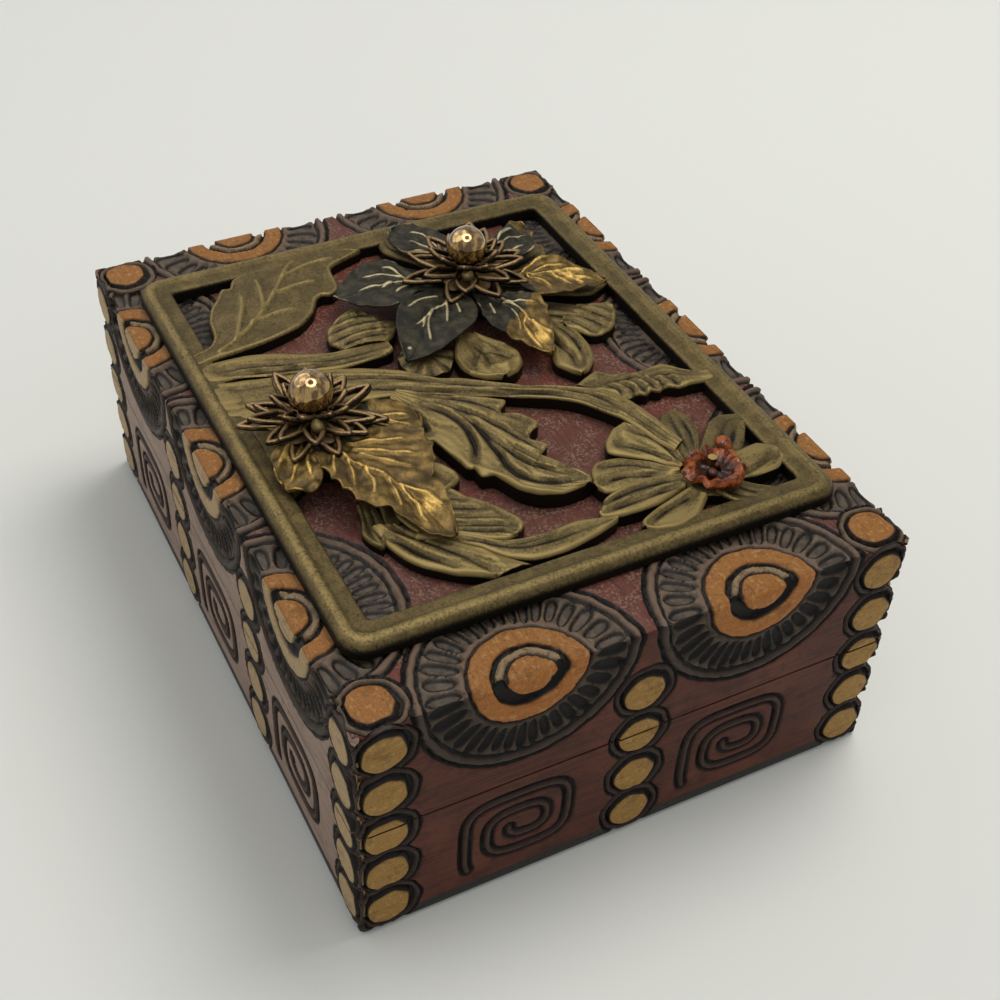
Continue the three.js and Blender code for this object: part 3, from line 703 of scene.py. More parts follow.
def carved_wood():
    wood = Finish("carved_stained_wood", IOR=1.5, Specular_IOR_Level=0.2)
    x, y, z = wood.axes()
    top = wood.attribute("top") > 0.94
    disc, sun, scroll = (wood.attribute(name) for name in ("disc", "sun", "scroll"))
    flute = wood.attribute("flute")
    # The long sides, which are painted paler: a painted sheen for the light they catch.
    painted_sheen_sides = (abs(y) > HALF_Y - 1.5) * (1 - top)

    side_grain = wood.noise(1.0, (0.1, 0.1, 2.6), detail=5, roughness=0.65)
    top_grain = wood.noise(1.0, (0.1, 2.2, 0.1), detail=5, roughness=0.65)
    grain = side_grain + (top_grain - side_grain) * top
    blotch = wood.noise(0.09, detail=3)
    speck = wood.noise(4.5, detail=2, roughness=0.7)
    weak = wood.step(wood.noise(0.5, detail=4), 0.42, 0.68)
    scratch = wood.step(wood.noise(1.0, (0.22, 0.22, 6.0), detail=2), 0.66, 0.72)

    # The stained field between the motifs
    fibre = wood.step(grain, 0.34, 0.66)
    field = wood.mix(fibre, FIELD_DARK, FIELD_RED)
    field = wood.mix(wood.step(blotch, 0.42, 0.7) * 0.3, field, FIELD_LIGHT)
    field = wood.mix(scratch * 0.4, field, SCRATCHED)
    # Painted light: the long sides' field is painted paler, a painted sheen.
    painted_sheen_field = wood.mix(fibre, FIELD_PAINTED_SHEEN_DARK, FIELD_PAINTED_SHEEN)
    field = wood.mix(painted_sheen_sides * 0.85, field, painted_sheen_field)
    reddish = wood.mix(wood.step(blotch, 0.45, 0.65), FIELD_TOP, FIELD_TOP_RED)
    field = wood.mix(top, field, wood.mix(fibre * 0.5, reddish, FIELD_DARK))

    # Scrolls, suns and discs
    drawn = wood.ramp(scroll, SCROLL_STOPS, SCROLL_REACH)
    colour = wood.mix(wood.step(scroll, SCROLL_REACH + 0.05, SCROLL_REACH - 0.25), field, drawn)
    corner = wood.maths("MAXIMUM", HALF_X - abs(x), HALF_Y - abs(y))
    broken = (corner < CHIP_WIDTH) * (z < TOP_Z - 3.5) * wood.step(wood.noise(0.7, detail=2), 0.3, 0.42)
    colour = wood.mix(broken * (1 - top), colour, CHIPPED)

    # Suns on the long sides are painted paler too, with the same painted sheen.
    side_sun = wood.ramp(sun, sun_side_stops(NATURAL_SUN), SUN_REACH)
    painted_sheen_sun = wood.ramp(sun, sun_side_stops(NATURAL_PAINTED_SHEEN), SUN_REACH)
    top_sun = wood.ramp(sun, sun_top_stops(), SUN_REACH)
    suns = wood.mix(top, wood.mix(painted_sheen_sides, side_sun, painted_sheen_sun), top_sun)
    fluted = wood.within(sun, *FLUTE_BAND)
    ridge = wood.mix(top, RIDGE_SIDE, RIDGE_TOP)
    on_ridge = fluted * wood.step(flute, 0.4, 0.18) * (0.35 + 0.65 * weak)
    suns = wood.mix(on_ridge, suns, ridge)
    lens = wood.mix(top * wood.step(flute, 0.6, 0.82) * (0.4 + 0.5 * weak), SOOT, FLUTE_DRY)
    suns = wood.mix(fluted * wood.step(flute, 0.3, 0.52), suns, lens)
    combed = top * wood.within(sun, *COMB_BAND)
    suns = wood.mix(combed * wood.step(flute, 0.1, 0.8) * 0.6, suns, COMB_MARK)
    colour = wood.mix(sun < SUN_REACH, colour, suns)

    # Discs on the long sides are painted paler too, with the same painted sheen.
    side_disc = wood.ramp(disc, disc_stops(NATURAL_SIDE, RING_SIDE), DISC_REACH)
    painted_sheen_disc = wood.ramp(disc, disc_stops(NATURAL_PAINTED_SHEEN, RING_SIDE), DISC_REACH)
    top_disc = wood.ramp(disc, disc_stops(NATURAL_TOP, RING_TOP), DISC_REACH)
    discs = wood.mix(top, wood.mix(painted_sheen_sides, side_disc, painted_sheen_disc), top_disc)
    colour = wood.mix(disc < DISC_REACH, colour, discs)

    # The bare parts show their fibres and their wear
    bright = wood.maths("MAXIMUM", disc < DISC_R - 0.2, (sun < CORE_BAND) * (disc > DISC_REACH))
    bright = wood.maths("MAXIMUM", bright, wood.within(sun, *RING_BAND) * (disc > DISC_REACH))
    pores = wood.step(speck, 0.5, 0.68) * 0.5 + wood.step(grain, 0.5, 0.7) * 0.3
    colour = wood.mix(bright * pores, colour, PORE_TINT, "MULTIPLY")
    pale = bright * wood.step(wood.noise(1.1, detail=3), 0.52, 0.7) * 0.35
    colour = wood.mix(pale, colour, RUBBED)
    colour = wood.mix(wood.step(weak, 0.5, 1.0) * 0.3, colour, STAIN_TINT, "MULTIPLY")

    # Black foot band, then dust that lies on the lid, then bare wood inside
    foot = (z < FOOT_BAND) * (disc > DISC_REACH)
    foot_colour = wood.mix(wood.step(speck, 0.4, 0.7), FOOT_DARK, FOOT_LIGHT)
    colour = wood.mix(foot, colour, foot_colour)
    stipple = wood.step(wood.noise(2.1, detail=2, roughness=0.6), 0.5, 0.62)
    powder = wood.step(wood.noise(0.25, detail=3), 0.3, 0.6)
    plain = (sun > SUN_REACH) * (disc > DISC_REACH) * 0.4 + 0.1
    colour = wood.mix(stipple * powder * top * (1 - bright) * plain, colour, DUST)
    inner = wood.maths("MINIMUM", HALF_X - abs(x), HALF_Y - abs(y))
    inner = wood.maths("MINIMUM", inner, TOP_Z - z)
    level = wood.maths("MAXIMUM", z < INNER_FLOOR, z > INNER_CEILING)
    bare_grain = side_grain + (top_grain - side_grain) * level
    bare = wood.mix(wood.step(bare_grain, 0.35, 0.65), BARE_GRAIN, BARE_WOOD)
    colour = wood.mix(wood.step(inner, *STAIN_DEPTH), colour, bare)

    gloss = 0.46 + grain * 0.16 + stipple * top * 0.25 + bright * 0.08
    rough = wood.bump(grain, 0.16, 0.5)
    rough = wood.bump(speck, 0.07, 0.5, rough)
    return wood.dress(Base_Color=colour, Roughness=gloss, Normal=rough)


# Sheets: leaves, petals, stems and bars shaped from a flat grid


def sheet(bm, rows, columns, shape, merge=1e-3):
    """A grid bent into a surface. Shape gives a point, a crest and a gilding for t along, s across."""
    crest = bm.verts.layers.float["crest"]
    gilt = bm.verts.layers.float["gilt"]
    verts = bmesh.ops.create_grid(bm, x_segments=rows, y_segments=columns, size=0.5)["verts"]
    flat = np.array([vert.co for vert in verts])
    points, crests, gilding = shape(flat[:, 0] + 0.5, flat[:, 1] * 2)
    for vert, point, wear_and_highlight, gilded in zip(verts, points, crests, np.broadcast_to(gilding, len(verts))):
        vert.co = point
        vert[crest] = wear_and_highlight
        vert[gilt] = gilded
    faces = faces_of(verts)
    bmesh.ops.remove_doubles(bm, verts=verts, dist=merge)
    return list({vert for face in faces if face.is_valid for vert in face.verts})


def new_sheets():
    bm = bmesh.new()
    bm.verts.layers.float.new("crest")
    bm.verts.layers.float.new("gilt")
    return bm


def ground(bm, verts, floor):
    """Walls from a sheet's rim down to the floor, and the edges at their foot."""
    crest = bm.verts.layers.float["crest"]
    rim = [edge for edge in edges_of(verts) if edge.is_boundary]
    for drop in (0.3, FAR):
        made = bmesh.ops.extrude_edge_only(bm, edges=rim)["geom"]
        for item in made:
            if isinstance(item, bmesh.types.BMVert):
                item.co.z = max(item.co.z - drop, floor)
                # The walls get no crest, so the brass finish paints them dark: patina and painted shade.
                item[crest] = 0.0
        rim = [item for item in made if isinstance(item, bmesh.types.BMEdge)]
    return rim


def dip(distance, width):
    return np.exp(-(distance / width) ** 2)


SWELL = 0.4  # how far the metal rises between two cuts
CUT_SPREAD = 1.3


def engraved(places, cuts, ridges):
    """Relief of cuts and of raised lines, each a line of places with a depth and a width."""
    relief = np.zeros(len(places))
    nearest = np.full(len(places), FAR)
    for points, depth, width in cuts:
        width *= CUT_SPREAD
        gap, share = away_from(places, dense_line(points, steps=24))
        fade = np.clip(6 * share, 0.15, 1) * np.clip(5 * (1 - share), 0.1, 1)
        relief -= depth * fade * dip(gap, width)
        relief += 0.3 * depth * fade * dip(gap - 1.9 * width, 0.9 * width)
        nearest = np.minimum(nearest, gap)
    for points, depth, width in ridges:
        gap, share = away_from(places, dense_line(points, steps=24))
        relief += depth * np.clip(5 * (1 - share), 0.1, 1) * dip(gap, width * CUT_SPREAD)
    if cuts:
        relief += SWELL * (1 - dip(nearest, 1.5))
    return relief


CAST_CELL = 0.34
CAST_HEIGHT = 2.9
RIM_DROP = 0.3
RIM_WIDTH = 0.45


def between_lines(left, right, cell, softness=0.55):
    """The two edge lines of a plate, and the rows and columns that its size asks for."""
    lines = dense_line(left, softness, 120), dense_line(right, softness, 120)
    length = max(np.linalg.norm(np.diff(line, axis=0), axis=1).sum() for line in lines)
    width = np.linalg.norm(lines[0] - lines[1], axis=1).max()
    return lines, max(8, round(length / cell)), max(6, round(width / cell))


def cast_plate(bm, left, right, cuts=(), ridges=(), root=2.6, tip=2.35, dome=0.35, ribs=0, rim=0.0,
               chased=0.2):
    """A cast leaf, petal or stem between its two edge lines, which run from root to tip."""
    lines, rows, columns = between_lines(left, right, CAST_CELL)

    def shape(t, s):
        first, second = (walk(line, t) for line in lines)
        flat = first + (second - first) * ((s + 1) / 2)[:, None]
        gap = np.minimum(away_from(flat, lines[0])[0], away_from(flat, lines[1])[0])
        relief = engraved(flat, cuts, ridges)
        for k in range(ribs):
            across = -0.7 + 1.4 * (k + 0.5) / ribs + 0.12 * math.sin(5 * k + ribs) + 0.08 * np.sin(4 * t + k)
            deep = 0.3 + 0.1 * math.sin(7 * k + 2)
            relief -= deep * dip(s - across, 0.5 / (ribs + 1)) * np.clip(4 * t, 0.2, 1) * (1 - t ** 5)
        run = rows * CAST_CELL
        wide = columns * CAST_CELL
        strokes = [noise.noise((b * wide * 0.42, a * run * 0.16, run)) for a, b in zip(t, s)]
        dents = [noise.noise((x * 0.3, y * 0.3, 2.0)) for x, y in flat]
        relief += chased * np.array(strokes) + 0.09 * np.array(dents)
        relief += rim * dip(gap - 0.45, 0.35)
        height = root + (tip - root) * t - dome * np.abs(s) ** 2.6
        height -= RIM_DROP * np.clip(1 - gap / RIM_WIDTH, 0, 1) ** 2
        crest = np.clip(0.55 + 0.95 * relief + 0.22 * dip(gap - 0.4, 0.35), 0, 1)
        return np.column_stack([flat, TOP_Z + np.maximum(height + relief, 0.4)]), crest, 0.0

    verts = sheet(bm, rows, columns, shape)
    bmesh.ops.holes_fill(bm, edges=ground(bm, verts, TOP_Z), sides=0)


BORDER_WIDTH = 5.6
BORDER_CORNER = 4.2
BORDER_PROFILE = [
    (0, 1.3), (0.2, 1.7), (0.7, 2.35), (1.3, 2.75), (1.9, 2.95), (2.5, 2.85), (3.0, 2.55), (3.5, 2.5),
    (4.6, 2.4), (5.2, 2.3), (5.45, 2.05), (5.6, 1.7),
]


def cast_border(bm):
    """The moulded border: a profile carried round a rounded rectangle."""
    _, high = node_box("brass_frame")
    half_x, half_y = high[0], high[1]
    arc_steps = 8
    bar_steps = 30
    side_steps = arc_steps + bar_steps

    def shape(t, s):
        inward = (s + 1) / 2 * BORDER_WIDTH
        step = np.round(t * 4 * side_steps).astype(int) % (4 * side_steps)
        corner = step // side_steps
        along = step % side_steps
        radius = BORDER_CORNER - inward * (BORDER_CORNER - 0.8) / BORDER_WIDTH
        reach = np.stack([half_x - inward - radius, half_y - inward - radius], axis=1)

        def end(which, share):
            angle = (which + share) * math.pi / 2
            signs = np.stack([np.where(which % 4 < 1, 1, np.where(which % 4 < 3, -1, 1)),
                              np.where(which % 4 < 2, 1, -1)], axis=1)
            ring = np.stack([np.cos(angle), np.sin(angle)], axis=1)
            return reach * signs + radius[:, None] * ring

        turning = along <= arc_steps
        share = np.where(turning, along / arc_steps, 1.0)
        straight = np.where(turning, 0.0, (along - arc_steps) / bar_steps)[:, None]
        flat = end(corner, share) * (1 - straight) + end((corner + 1), np.zeros(len(t))) * straight
        height = np.interp(inward, *zip(*BORDER_PROFILE))
        height += 0.05 * np.sin(0.35 * flat[:, 0] + 1) * np.sin(0.3 * flat[:, 1])
        crest = np.interp(inward, [0, 0.6, 1.2, 2.2, 2.9, 3.2, 4.4, 5.0, 5.3, 5.6],
                          [0.15, 0.5, 0.8, 0.8, 0.5, 0.42, 0.5, 0.7, 0.5, 0.1])
        return np.column_stack([flat, TOP_Z + height]), crest, 0.0

    verts = sheet(bm, 4 * side_steps, 26, shape)
    bmesh.ops.bridge_loops(bm, edges=ground(bm, verts, TOP_Z))


def cast_heap(bm, middle, radius, lumps=0.15):
    """A low round heap of metal under a flower."""
    columns = max(8, round(radius / CAST_CELL))

    def shape(t, s):
        angle = 2 * math.pi * t
        out = (s + 1) / 2
        reach = radius * out * (1 + 0.04 * np.sin(5 * angle))
        flat = np.array(middle) + np.stack([reach * np.cos(angle), reach * np.sin(angle)], axis=1)
        relief = lumps * np.sin(9 * angle) * out
        height = CAST_HEIGHT * (1 - 0.35 * out ** 2.5) + relief
        return np.column_stack([flat, TOP_Z + height]), np.clip(0.5 + 1.1 * relief, 0, 1), 0.0

    verts = sheet(bm, 56, columns, shape)
    bmesh.ops.holes_fill(bm, edges=ground(bm, verts, TOP_Z), sides=0)


# Where the stems, leaves and petals of the casting lie, in millimetres seen from above. Each has its
# left and its right edge from root to tip; cuts and ridges are lines with a depth and a width.

FLOWER_A = (-27.3, 13.5)
FLOWER_B = (2.4, -29.5)
FLOWER_C = (39.8, 25.8)


def cuts_of(depth, width, *lines):
    return [(line, depth, width) for line in lines]


BROAD_LEAF = {
    "left": [(-26, -41.2), (-27.5, -37.6), (-30, -36), (-35, -35.2), (-38.5, -33.8), (-41.7, -31.5),
             (-44.3, -29.8), (-44, -28.2), (-46.8, -26.5), (-49, -20), (-49.5, -12), (-48.6, -4),
             (-46.5, -0.5)],
    "right": [(-22.6, -41.2), (-23.6, -37.5), (-24, -34.5), (-25, -28), (-26, -24), (-27.5, -20),
              (-30.5, -16.5), (-34, -14.4), (-34.9, -13), (-34.3, -11.5), (-35.5, -9.5), (-38, -8.7),
              (-40.2, -8.6), (-43, -8), (-44.5, -5), (-46, -0.5)],
    "ridges": cuts_of(0.45, 0.34,
                      [(-25, -36.5), (-28, -31.5), (-34, -25), (-41, -19.5), (-47, -15), (-50, -10)],
                      [(-27.4, -32.6), (-33, -29.8), (-38.4, -27.6), (-42.6, -26.8)],
                      [(-31, -28.4), (-32.4, -23), (-32.4, -18)],
                      [(-34, -25), (-39.6, -23.4), (-45.4, -22.6)],
                      [(-38.4, -21.4), (-39.6, -16), (-39.4, -11.4)],
                      [(-43.4, -17.6), (-45.4, -12), (-45.8, -6)]),
    "rim": 0.16, "dome": 0.35, "chased": 0.08,
}
LEFT_STEM = {
    "left": [(-23, -41.4), (-22.3, -33), (-20.8, -28), (-18, -22), (-16.7, -17.5), (-16.5, -10), (-16, -8)],
    "right": [(-16.5, -41.4), (-17, -36), (-15, -30), (-12, -20), (-12, -14), (-12.6, -9), (-13, -8)],
    "cuts": cuts_of(0.4, 0.32, [(-19.5, -38), (-19, -34), (-16.5, -26), (-14.4, -18), (-14.4, -9)],
                    [(-18, -37), (-15.6, -28), (-13.3, -19), (-13.2, -10)]),
    "root": 2.3, "tip": 2.6,
}
MAIN_STEM = {
    "left": [(-16.8, -41.4), (-15.4, -34), (-13.4, -26), (-11.9, -18.8), (-8.5, -11.5), (-4.6, -6.5),
             (-2, -3.8), (0, 0.5), (3, 4.5), (6, 9), (8.5, 14), (10.5, 17.3), (13, 20.8), (17, 23.2),
             (24, 25), (31, 26)],
    "right": [(-5.6, -41.4), (-5, -34), (-2.5, -24), (-1.2, -16), (0, -10), (2.5, -4.7), (4.6, -0.5),
              (7, 4), (9.6, 8.3), (12, 12.5), (14.4, 15.2), (17, 17.2), (20, 19), (23, 20.2), (28, 21.5),
              (33, 23)],
    "cuts": cuts_of(0.42, 0.34,
                    [(-13.5, -37), (-12, -30), (-9, -20), (-4.5, -10), (1.2, -1.5), (5.5, 6.2),
                     (9.5, 13.5), (14, 18.6), (22, 22), (29, 23)],
                    [(-9.5, -37), (-7.5, -28), (-4.5, -17), (0, -8), (5, 1.5), (8.8, 9), (12.5, 15),
                     (19, 19.8)]),
    "ridges": cuts_of(0.2, 0.3, [(-15, -38), (-13, -29), (-10, -20), (-6, -11.5), (-1, -3.5)]),
    "root": 2.3, "tip": 2.7,
}
CURLED_LEAF = {
    "left": [(-2, -12), (3, -4.6), (5.3, -0.5), (8.4, 3.6), (9.6, 3), (10.8, 1.6), (13, 4.4), (16, 6.1),
             (17.4, 5.4), (18.2, 3.6), (19.7, 2.8), (22.5, 4.5), (23.5, 3.4), (24.3, 2.3), (27, 4.1),
             (30, 5.9), (32.8, 7.1), (34.3, 6.4)],
    "right": [(0, -14.5), (6, -14.4), (9.5, -13.8), (12, -13.5), (13.5, -12.3), (15, -12), (19, -11),
              (22.2, -10.4), (23, -9.4), (25.3, -9.2), (25.9, -7.3), (27.5, -6.5), (31, -5), (33.5, -2.5),
              (34.8, 1), (34.6, 5)],
    "cuts": cuts_of(0.62, 0.42, [(4, -9.8), (8, -7.3), (13, -6), (18, -6.8), (22, -8.5)],
                    [(12, -4.3), (20, -4), (26, -4), (30, -2), (32.3, 2), (32.5, 6)])
    + cuts_of(0.5, 0.36, [(1, -8.5), (5, -3.5), (8, -0.6), (12, 2), (15.5, 4.4)],
              [(5, -6.4), (12, -2), (20, 1.5), (24, 3)], [(8, -5.2), (18, -3), (26, -0.5), (31, 4.5)],
              [(4, -12.2), (8, -11.8), (11.5, -12.6)])
    + cuts_of(0.26, 0.3, [(3, -5.6), (6.5, -1), (8.6, 1.4)], [(16, 0.9), (20, 2.6)],
              [(20, -1.4), (26, 1.4), (29.5, 4.8)]),
    "ridges": cuts_of(0.25, 0.28, [(20, -0.5), (24, 2.5)], [(26, 0), (29, 3.5)],
                      [(10, -3.4), (16, -1.6), (22, 0.4)])
    + cuts_of(0.35, 0.4, [(23, -9), (27.5, -5.8), (31, -4.3), (33.3, -1.5), (34, 2)]),
    "root": 2.4, "tip": 3.1, "dome": 0.3,
}
COMB_LEAF = {
    "left": [(10, 16.6), (8.6, 19.6), (7.6, 22.3), (9.4, 24.6), (9.8, 27), (10.5, 30), (10.5, 34),
             (13, 36.8), (15.3, 40.5)],
    "right": [(13, 19.8), (15.5, 22.5), (16.8, 24), (16.2, 25.6), (17.1, 27.2), (16.4, 28.6), (17.2, 30),
              (16.4, 31.6), (17.6, 33.6), (17.8, 36), (18.3, 40.5)],
    "cuts": cuts_of(0.42, 0.3, [(12, 22), (14, 23.2), (16, 23.4)], [(12, 24), (14, 25.4), (16.2, 25.7)],
                    [(12.2, 26.2), (14.2, 27.4), (16.6, 27.6)],
                    [(12.6, 28.4), (14.4, 29.4), (16.6, 29.6)],
                    [(13.2, 30.6), (14.8, 31.4), (16.6, 31.4)], [(13.8, 33), (15.4, 33.8), (17, 33.8)])
    + cuts_of(0.3, 0.3, [(11.5, 19), (11.6, 25), (12.6, 31), (15, 38)], [(9, 22.5), (11, 25.5)],
              [(10.4, 28), (11.6, 30)]),
    "tip": 2.3,
}
LEFT_BUD = {
    "left": [(-16.5, -16), (-17.2, -16), (-19.5, -17.5), (-22, -17.3), (-24.5, -16), (-27, -13),
             (-27.7, -10.5)],
    "right": [(-15.6, -8), (-17, -6.3), (-20, -4.2), (-22, -4.2), (-25, -6), (-27.2, -8.6), (-27.7, -10)],
    "cuts": cuts_of(0.45, 0.36, [(-18, -16), (-18.4, -11), (-18, -6)],
                    [(-20, -17), (-20.5, -11), (-20.2, -5)], [(-22.5, -16.6), (-23, -11), (-22.5, -5)],
                    [(-24.8, -15), (-25.4, -10.6), (-25, -7)]),
    "root": 2.9, "tip": 2.4, "dome": 0.7,
}
UPPER_BUD = {
    "left": [(-7.6, 23.8), (-9, 24.5), (-12, 26), (-12.7, 28), (-12.5, 31), (-11, 35), (-9.6, 35.4)],
    "right": [(-6, 24), (-5, 25.3), (-3, 27), (-2.3, 29.5), (-4, 33), (-7, 35), (-8.6, 35.4)],
    "cuts": cuts_of(0.4, 0.34, [(-10.8, 26.5), (-8, 28.5), (-4, 31)],
                    [(-11.8, 28.6), (-9, 30.8), (-5.6, 33)], [(-12, 31), (-10, 33), (-8, 34.6)],
                    [(-8.6, 25.4), (-5.6, 27), (-3.2, 28.4)]),
    "dome": 0.7,
}
LOWER_PETAL = {
    "left": [(-14, 21), (-9, 23.5), (-5, 25.4), (0, 25.4), (4, 24), (6.5, 21.6), (7, 20.2)],
    "right": [(-12, 17.5), (-7, 18.8), (-2, 19), (0.5, 17.3), (3, 17), (6, 18.8), (7, 19.8)],
    "cuts": cuts_of(0.4, 0.34, [(-9, 20.2), (-4, 20), (1, 20.6), (4.6, 20.4)],
                    [(-8, 22.4), (-3, 23.4), (2, 23)]),
    "ridges": cuts_of(0.35, 0.32, [(-5, 21.2), (0, 22), (4, 21.4)]),
    "dome": 0.6,
}
RIBBED_LEAF = {
    "left": [(23, -17), (25, -14.8), (28, -13), (31, -10.5), (33.5, -9), (36, -7.9), (38, -7.8),
             (39.3, -9.2)],
    "right": [(24, -24), (28, -25.5), (32.6, -24), (34, -20.6), (36.2, -17.6), (38.6, -14.6), (40, -12),
              (39.8, -10)],
    "cuts": cuts_of(0.4, 0.3, [(26, -20), (27, -17), (28.4, -14)], [(28, -20.5), (30, -16), (32, -11.8)],
                    [(30, -21), (32.6, -15.6), (35, -10.2)], [(32, -20.6), (35, -15), (37.4, -9.8)],
                    [(34, -18.6), (36.6, -14.4), (38.8, -10.4)]),
    "root": 2.2, "tip": 2.5,
}
BORDER_LEAF = {
    "left": [(32, -23), (34, -19.8), (37, -16), (39.6, -12.5), (40.6, -9), (40.9, -4), (40.8, 0),
             (41.6, 4), (42.6, 6.5)],
    "right": [(34, -25), (36, -20), (39.6, -16.8), (43.4, -13.8), (45.7, -10), (46.2, -5), (45.6, -1),
              (44.6, 3), (43.6, 6)],
    "cuts": cuts_of(0.4, 0.32, [(35, -20.5), (38.6, -16), (42, -11.6), (43.2, -6), (43, 0), (42.6, 4.6)],
                    [(40, -14), (41.6, -10), (41.9, -5)]),
    "root": 2.2, "tip": 2.4,
}
POD_LEAF = {
    "left": [(30, -25), (33.4, -22.6), (36, -20), (39.6, -16.8), (43.4, -13.8), (46.5, -11)],
    "right": [(28, -30), (33, -29.3), (37, -28), (40, -26), (43.6, -22), (46.6, -17)],
    "cuts": cuts_of(0.4, 0.34, [(31, -26.5), (36, -23), (40.6, -19.6), (46, -17)],
                    [(31, -28.4), (37, -25.6), (41.6, -22)]),
    "ridges": cuts_of(0.3, 0.34, [(33, -22), (38, -17.8), (42, -15.8), (46, -15.2)]),
    "root": 2.0, "dome": 0.6,
}
SMALL_LEAF = {
    "left": [(22, -27), (26, -27.2), (29, -27.6), (31.6, -28.6), (33.2, -30)],
    "right": [(22, -30), (25.4, -30.6), (28.6, -31.8), (31, -31.4), (33.2, -30.2)],
    "ribs": 2, "root": 1.6, "tip": 2.0,
}
GREY_LOBE = {
    "left": [(14, -18), (17, -15.6), (19.5, -13.4), (22, -12.2), (23.8, -12.4), (25.2, -14.4)],
    "right": [(15, -22), (19, -22), (23, -20.6), (26, -18.4), (26, -16), (25.2, -14.6)],
    "cuts": cuts_of(0.3, 0.3, [(17, -18.5), (20.4, -16.4), (23.4, -14.4)]),
    "root": 2.0, "tip": 2.3, "rim": 0.3,
}
VEINED_LOBE = {
    "left": [(-11, 8), (-8.6, 9.6), (-6, 11.6), (-3, 12.4), (0, 11.6), (1.8, 9.6), (2.4, 7.4)],
    "right": [(-11.5, 4), (-8.8, 2.2), (-6, 1), (-3, 0.8), (-0.4, 1.8), (1.4, 3.6), (2.4, 6.2)],
    "cuts": cuts_of(0.3, 0.3, [(-8, 6), (-4.6, 6.4), (-1.4, 6.2)], [(-6, 6.2), (-4.4, 8.6), (-2.6, 10)],
                    [(-6, 5.8), (-4, 4), (-2.4, 3)]),
    "ridges": cuts_of(0.34, 0.45, [(-1.6, 10.6), (-0.4, 8.4), (-1.2, 6.4), (0.4, 5.2)],
                      [(-0.4, 8.4), (1.4, 8)]),
    "root": 2.6, "tip": 2.2, "rim": 0.35,
}
UNDER_GOLD = {
    "left": [(4, -24), (14, -20), (22, -18.6), (27, -19)],
    "right": [(4, -33), (13, -27.4), (22, -26.6), (30, -28)],
    "ribs": 3, "root": 1.8, "tip": 1.8,
}
BACK_PETALS = [
    {"left": [(-32, 15), (-37, 21), (-40, 25), (-43, 29), (-42, 31.6)],
     "right": [(-29, 18), (-32, 24), (-35.4, 28), (-38, 31.4), (-41, 32.2)], "ribs": 2},
    {"left": [(-31, 19), (-35, 27), (-36.4, 30.8), (-34, 33)],
     "right": [(-26, 20), (-27.4, 27), (-28.6, 31.4), (-31.4, 33.1)], "ribs": 2},
    {"left": [(-27, 19), (-25.6, 29), (-24.4, 35), (-21, 38.5)],
     "right": [(-21, 19), (-17, 28), (-14.6, 34), (-16.6, 38.5)], "ribs": 3},
    {"left": [(-22, 17), (-17, 23), (-13, 29), (-9.6, 33)],
     "right": [(-18, 13), (-13, 18), (-9, 23.4), (-7.6, 28)], "ribs": 2},
    {"left": [(-34, 10), (-38.6, 7), (-44, 3.6), (-50.5, 4)],
     "right": [(-34, 14), (-40, 11.6), (-45, 9), (-50.5, 10)], "ribs": 3},
]
FLOWER_C_PETALS = [
    {"left": [(36, 24), (30, 24), (25, 24.8), (22.8, 26.6), (22.4, 28.4)],
     "right": [(35.5, 26.5), (30, 30), (25.5, 30.8), (23, 30)], "ribs": 2},
    {"left": [(37, 21.6), (33, 18.6), (29.5, 14), (28, 13), (25.5, 14), (23.2, 16.6), (22.7, 18.6)],
     "right": [(36.5, 23.8), (28, 24.3), (24.8, 22.2), (22.8, 19.8)],
     "cuts": cuts_of(0.4, 0.34, [(25.4, 20), (29, 22), (35, 22.8)], [(27.4, 15.6), (30, 18.5), (34, 21)]),
     "ridges": cuts_of(0.3, 0.3, [(25, 18), (29, 20.5), (35, 22)])},
    {"left": [(38, 21), (37.5, 17), (37.5, 11), (37, 7.8), (35.6, 6.9)],
     "right": [(36.8, 21.4), (33, 18), (30, 14), (29.5, 10), (31, 8.2), (34, 6.7)],
     "cuts": cuts_of(0.42, 0.34, [(31, 10), (32.5, 14.5), (36, 19)], [(34.5, 9), (35, 13), (37, 18)])},
    {"left": [(41.5, 20), (43, 14), (43, 8), (42, 4.2), (41, 4)],
     "right": [(38.2, 21), (36.8, 16), (36.6, 11), (38, 6.7), (40.2, 4.6)],
     "cuts": cuts_of(0.42, 0.34, [(39, 6), (38.5, 13), (39.5, 20)], [(41, 5), (41, 12), (41, 19)]),
     "root": 2.9},
    {"left": [(45, 22), (48.4, 18), (49.2, 14), (48.4, 10.5), (47.4, 9.2)],
     "right": [(41.5, 20.5), (43.2, 14), (45, 9.7), (46.4, 8.9)],
     "cuts": cuts_of(0.4, 0.34, [(43.6, 20), (45, 14), (46.4, 10.4)]), "rim": 0.2},
    {"left": [(35, 26), (31, 30), (28, 33), (27, 35.5), (28, 38.6)],
     "right": [(38.4, 27), (38.4, 31), (36, 35), (31, 38.8)], "ribs": 2},
    {"left": [(38, 28), (37, 33), (36.4, 37), (38, 39.5)],
     "right": [(42.6, 27), (43.6, 33), (43.4, 37), (41.6, 39.5)],
     "cuts": cuts_of(0.4, 0.34, [(40.5, 38), (42, 33), (42.5, 28)])},
    {"left": [(42, 28), (45.6, 32), (48, 36), (47.4, 39.5)],
     "right": [(44, 24), (47.6, 26), (50.5, 29), (50.5, 33)], "ribs": 2},
]


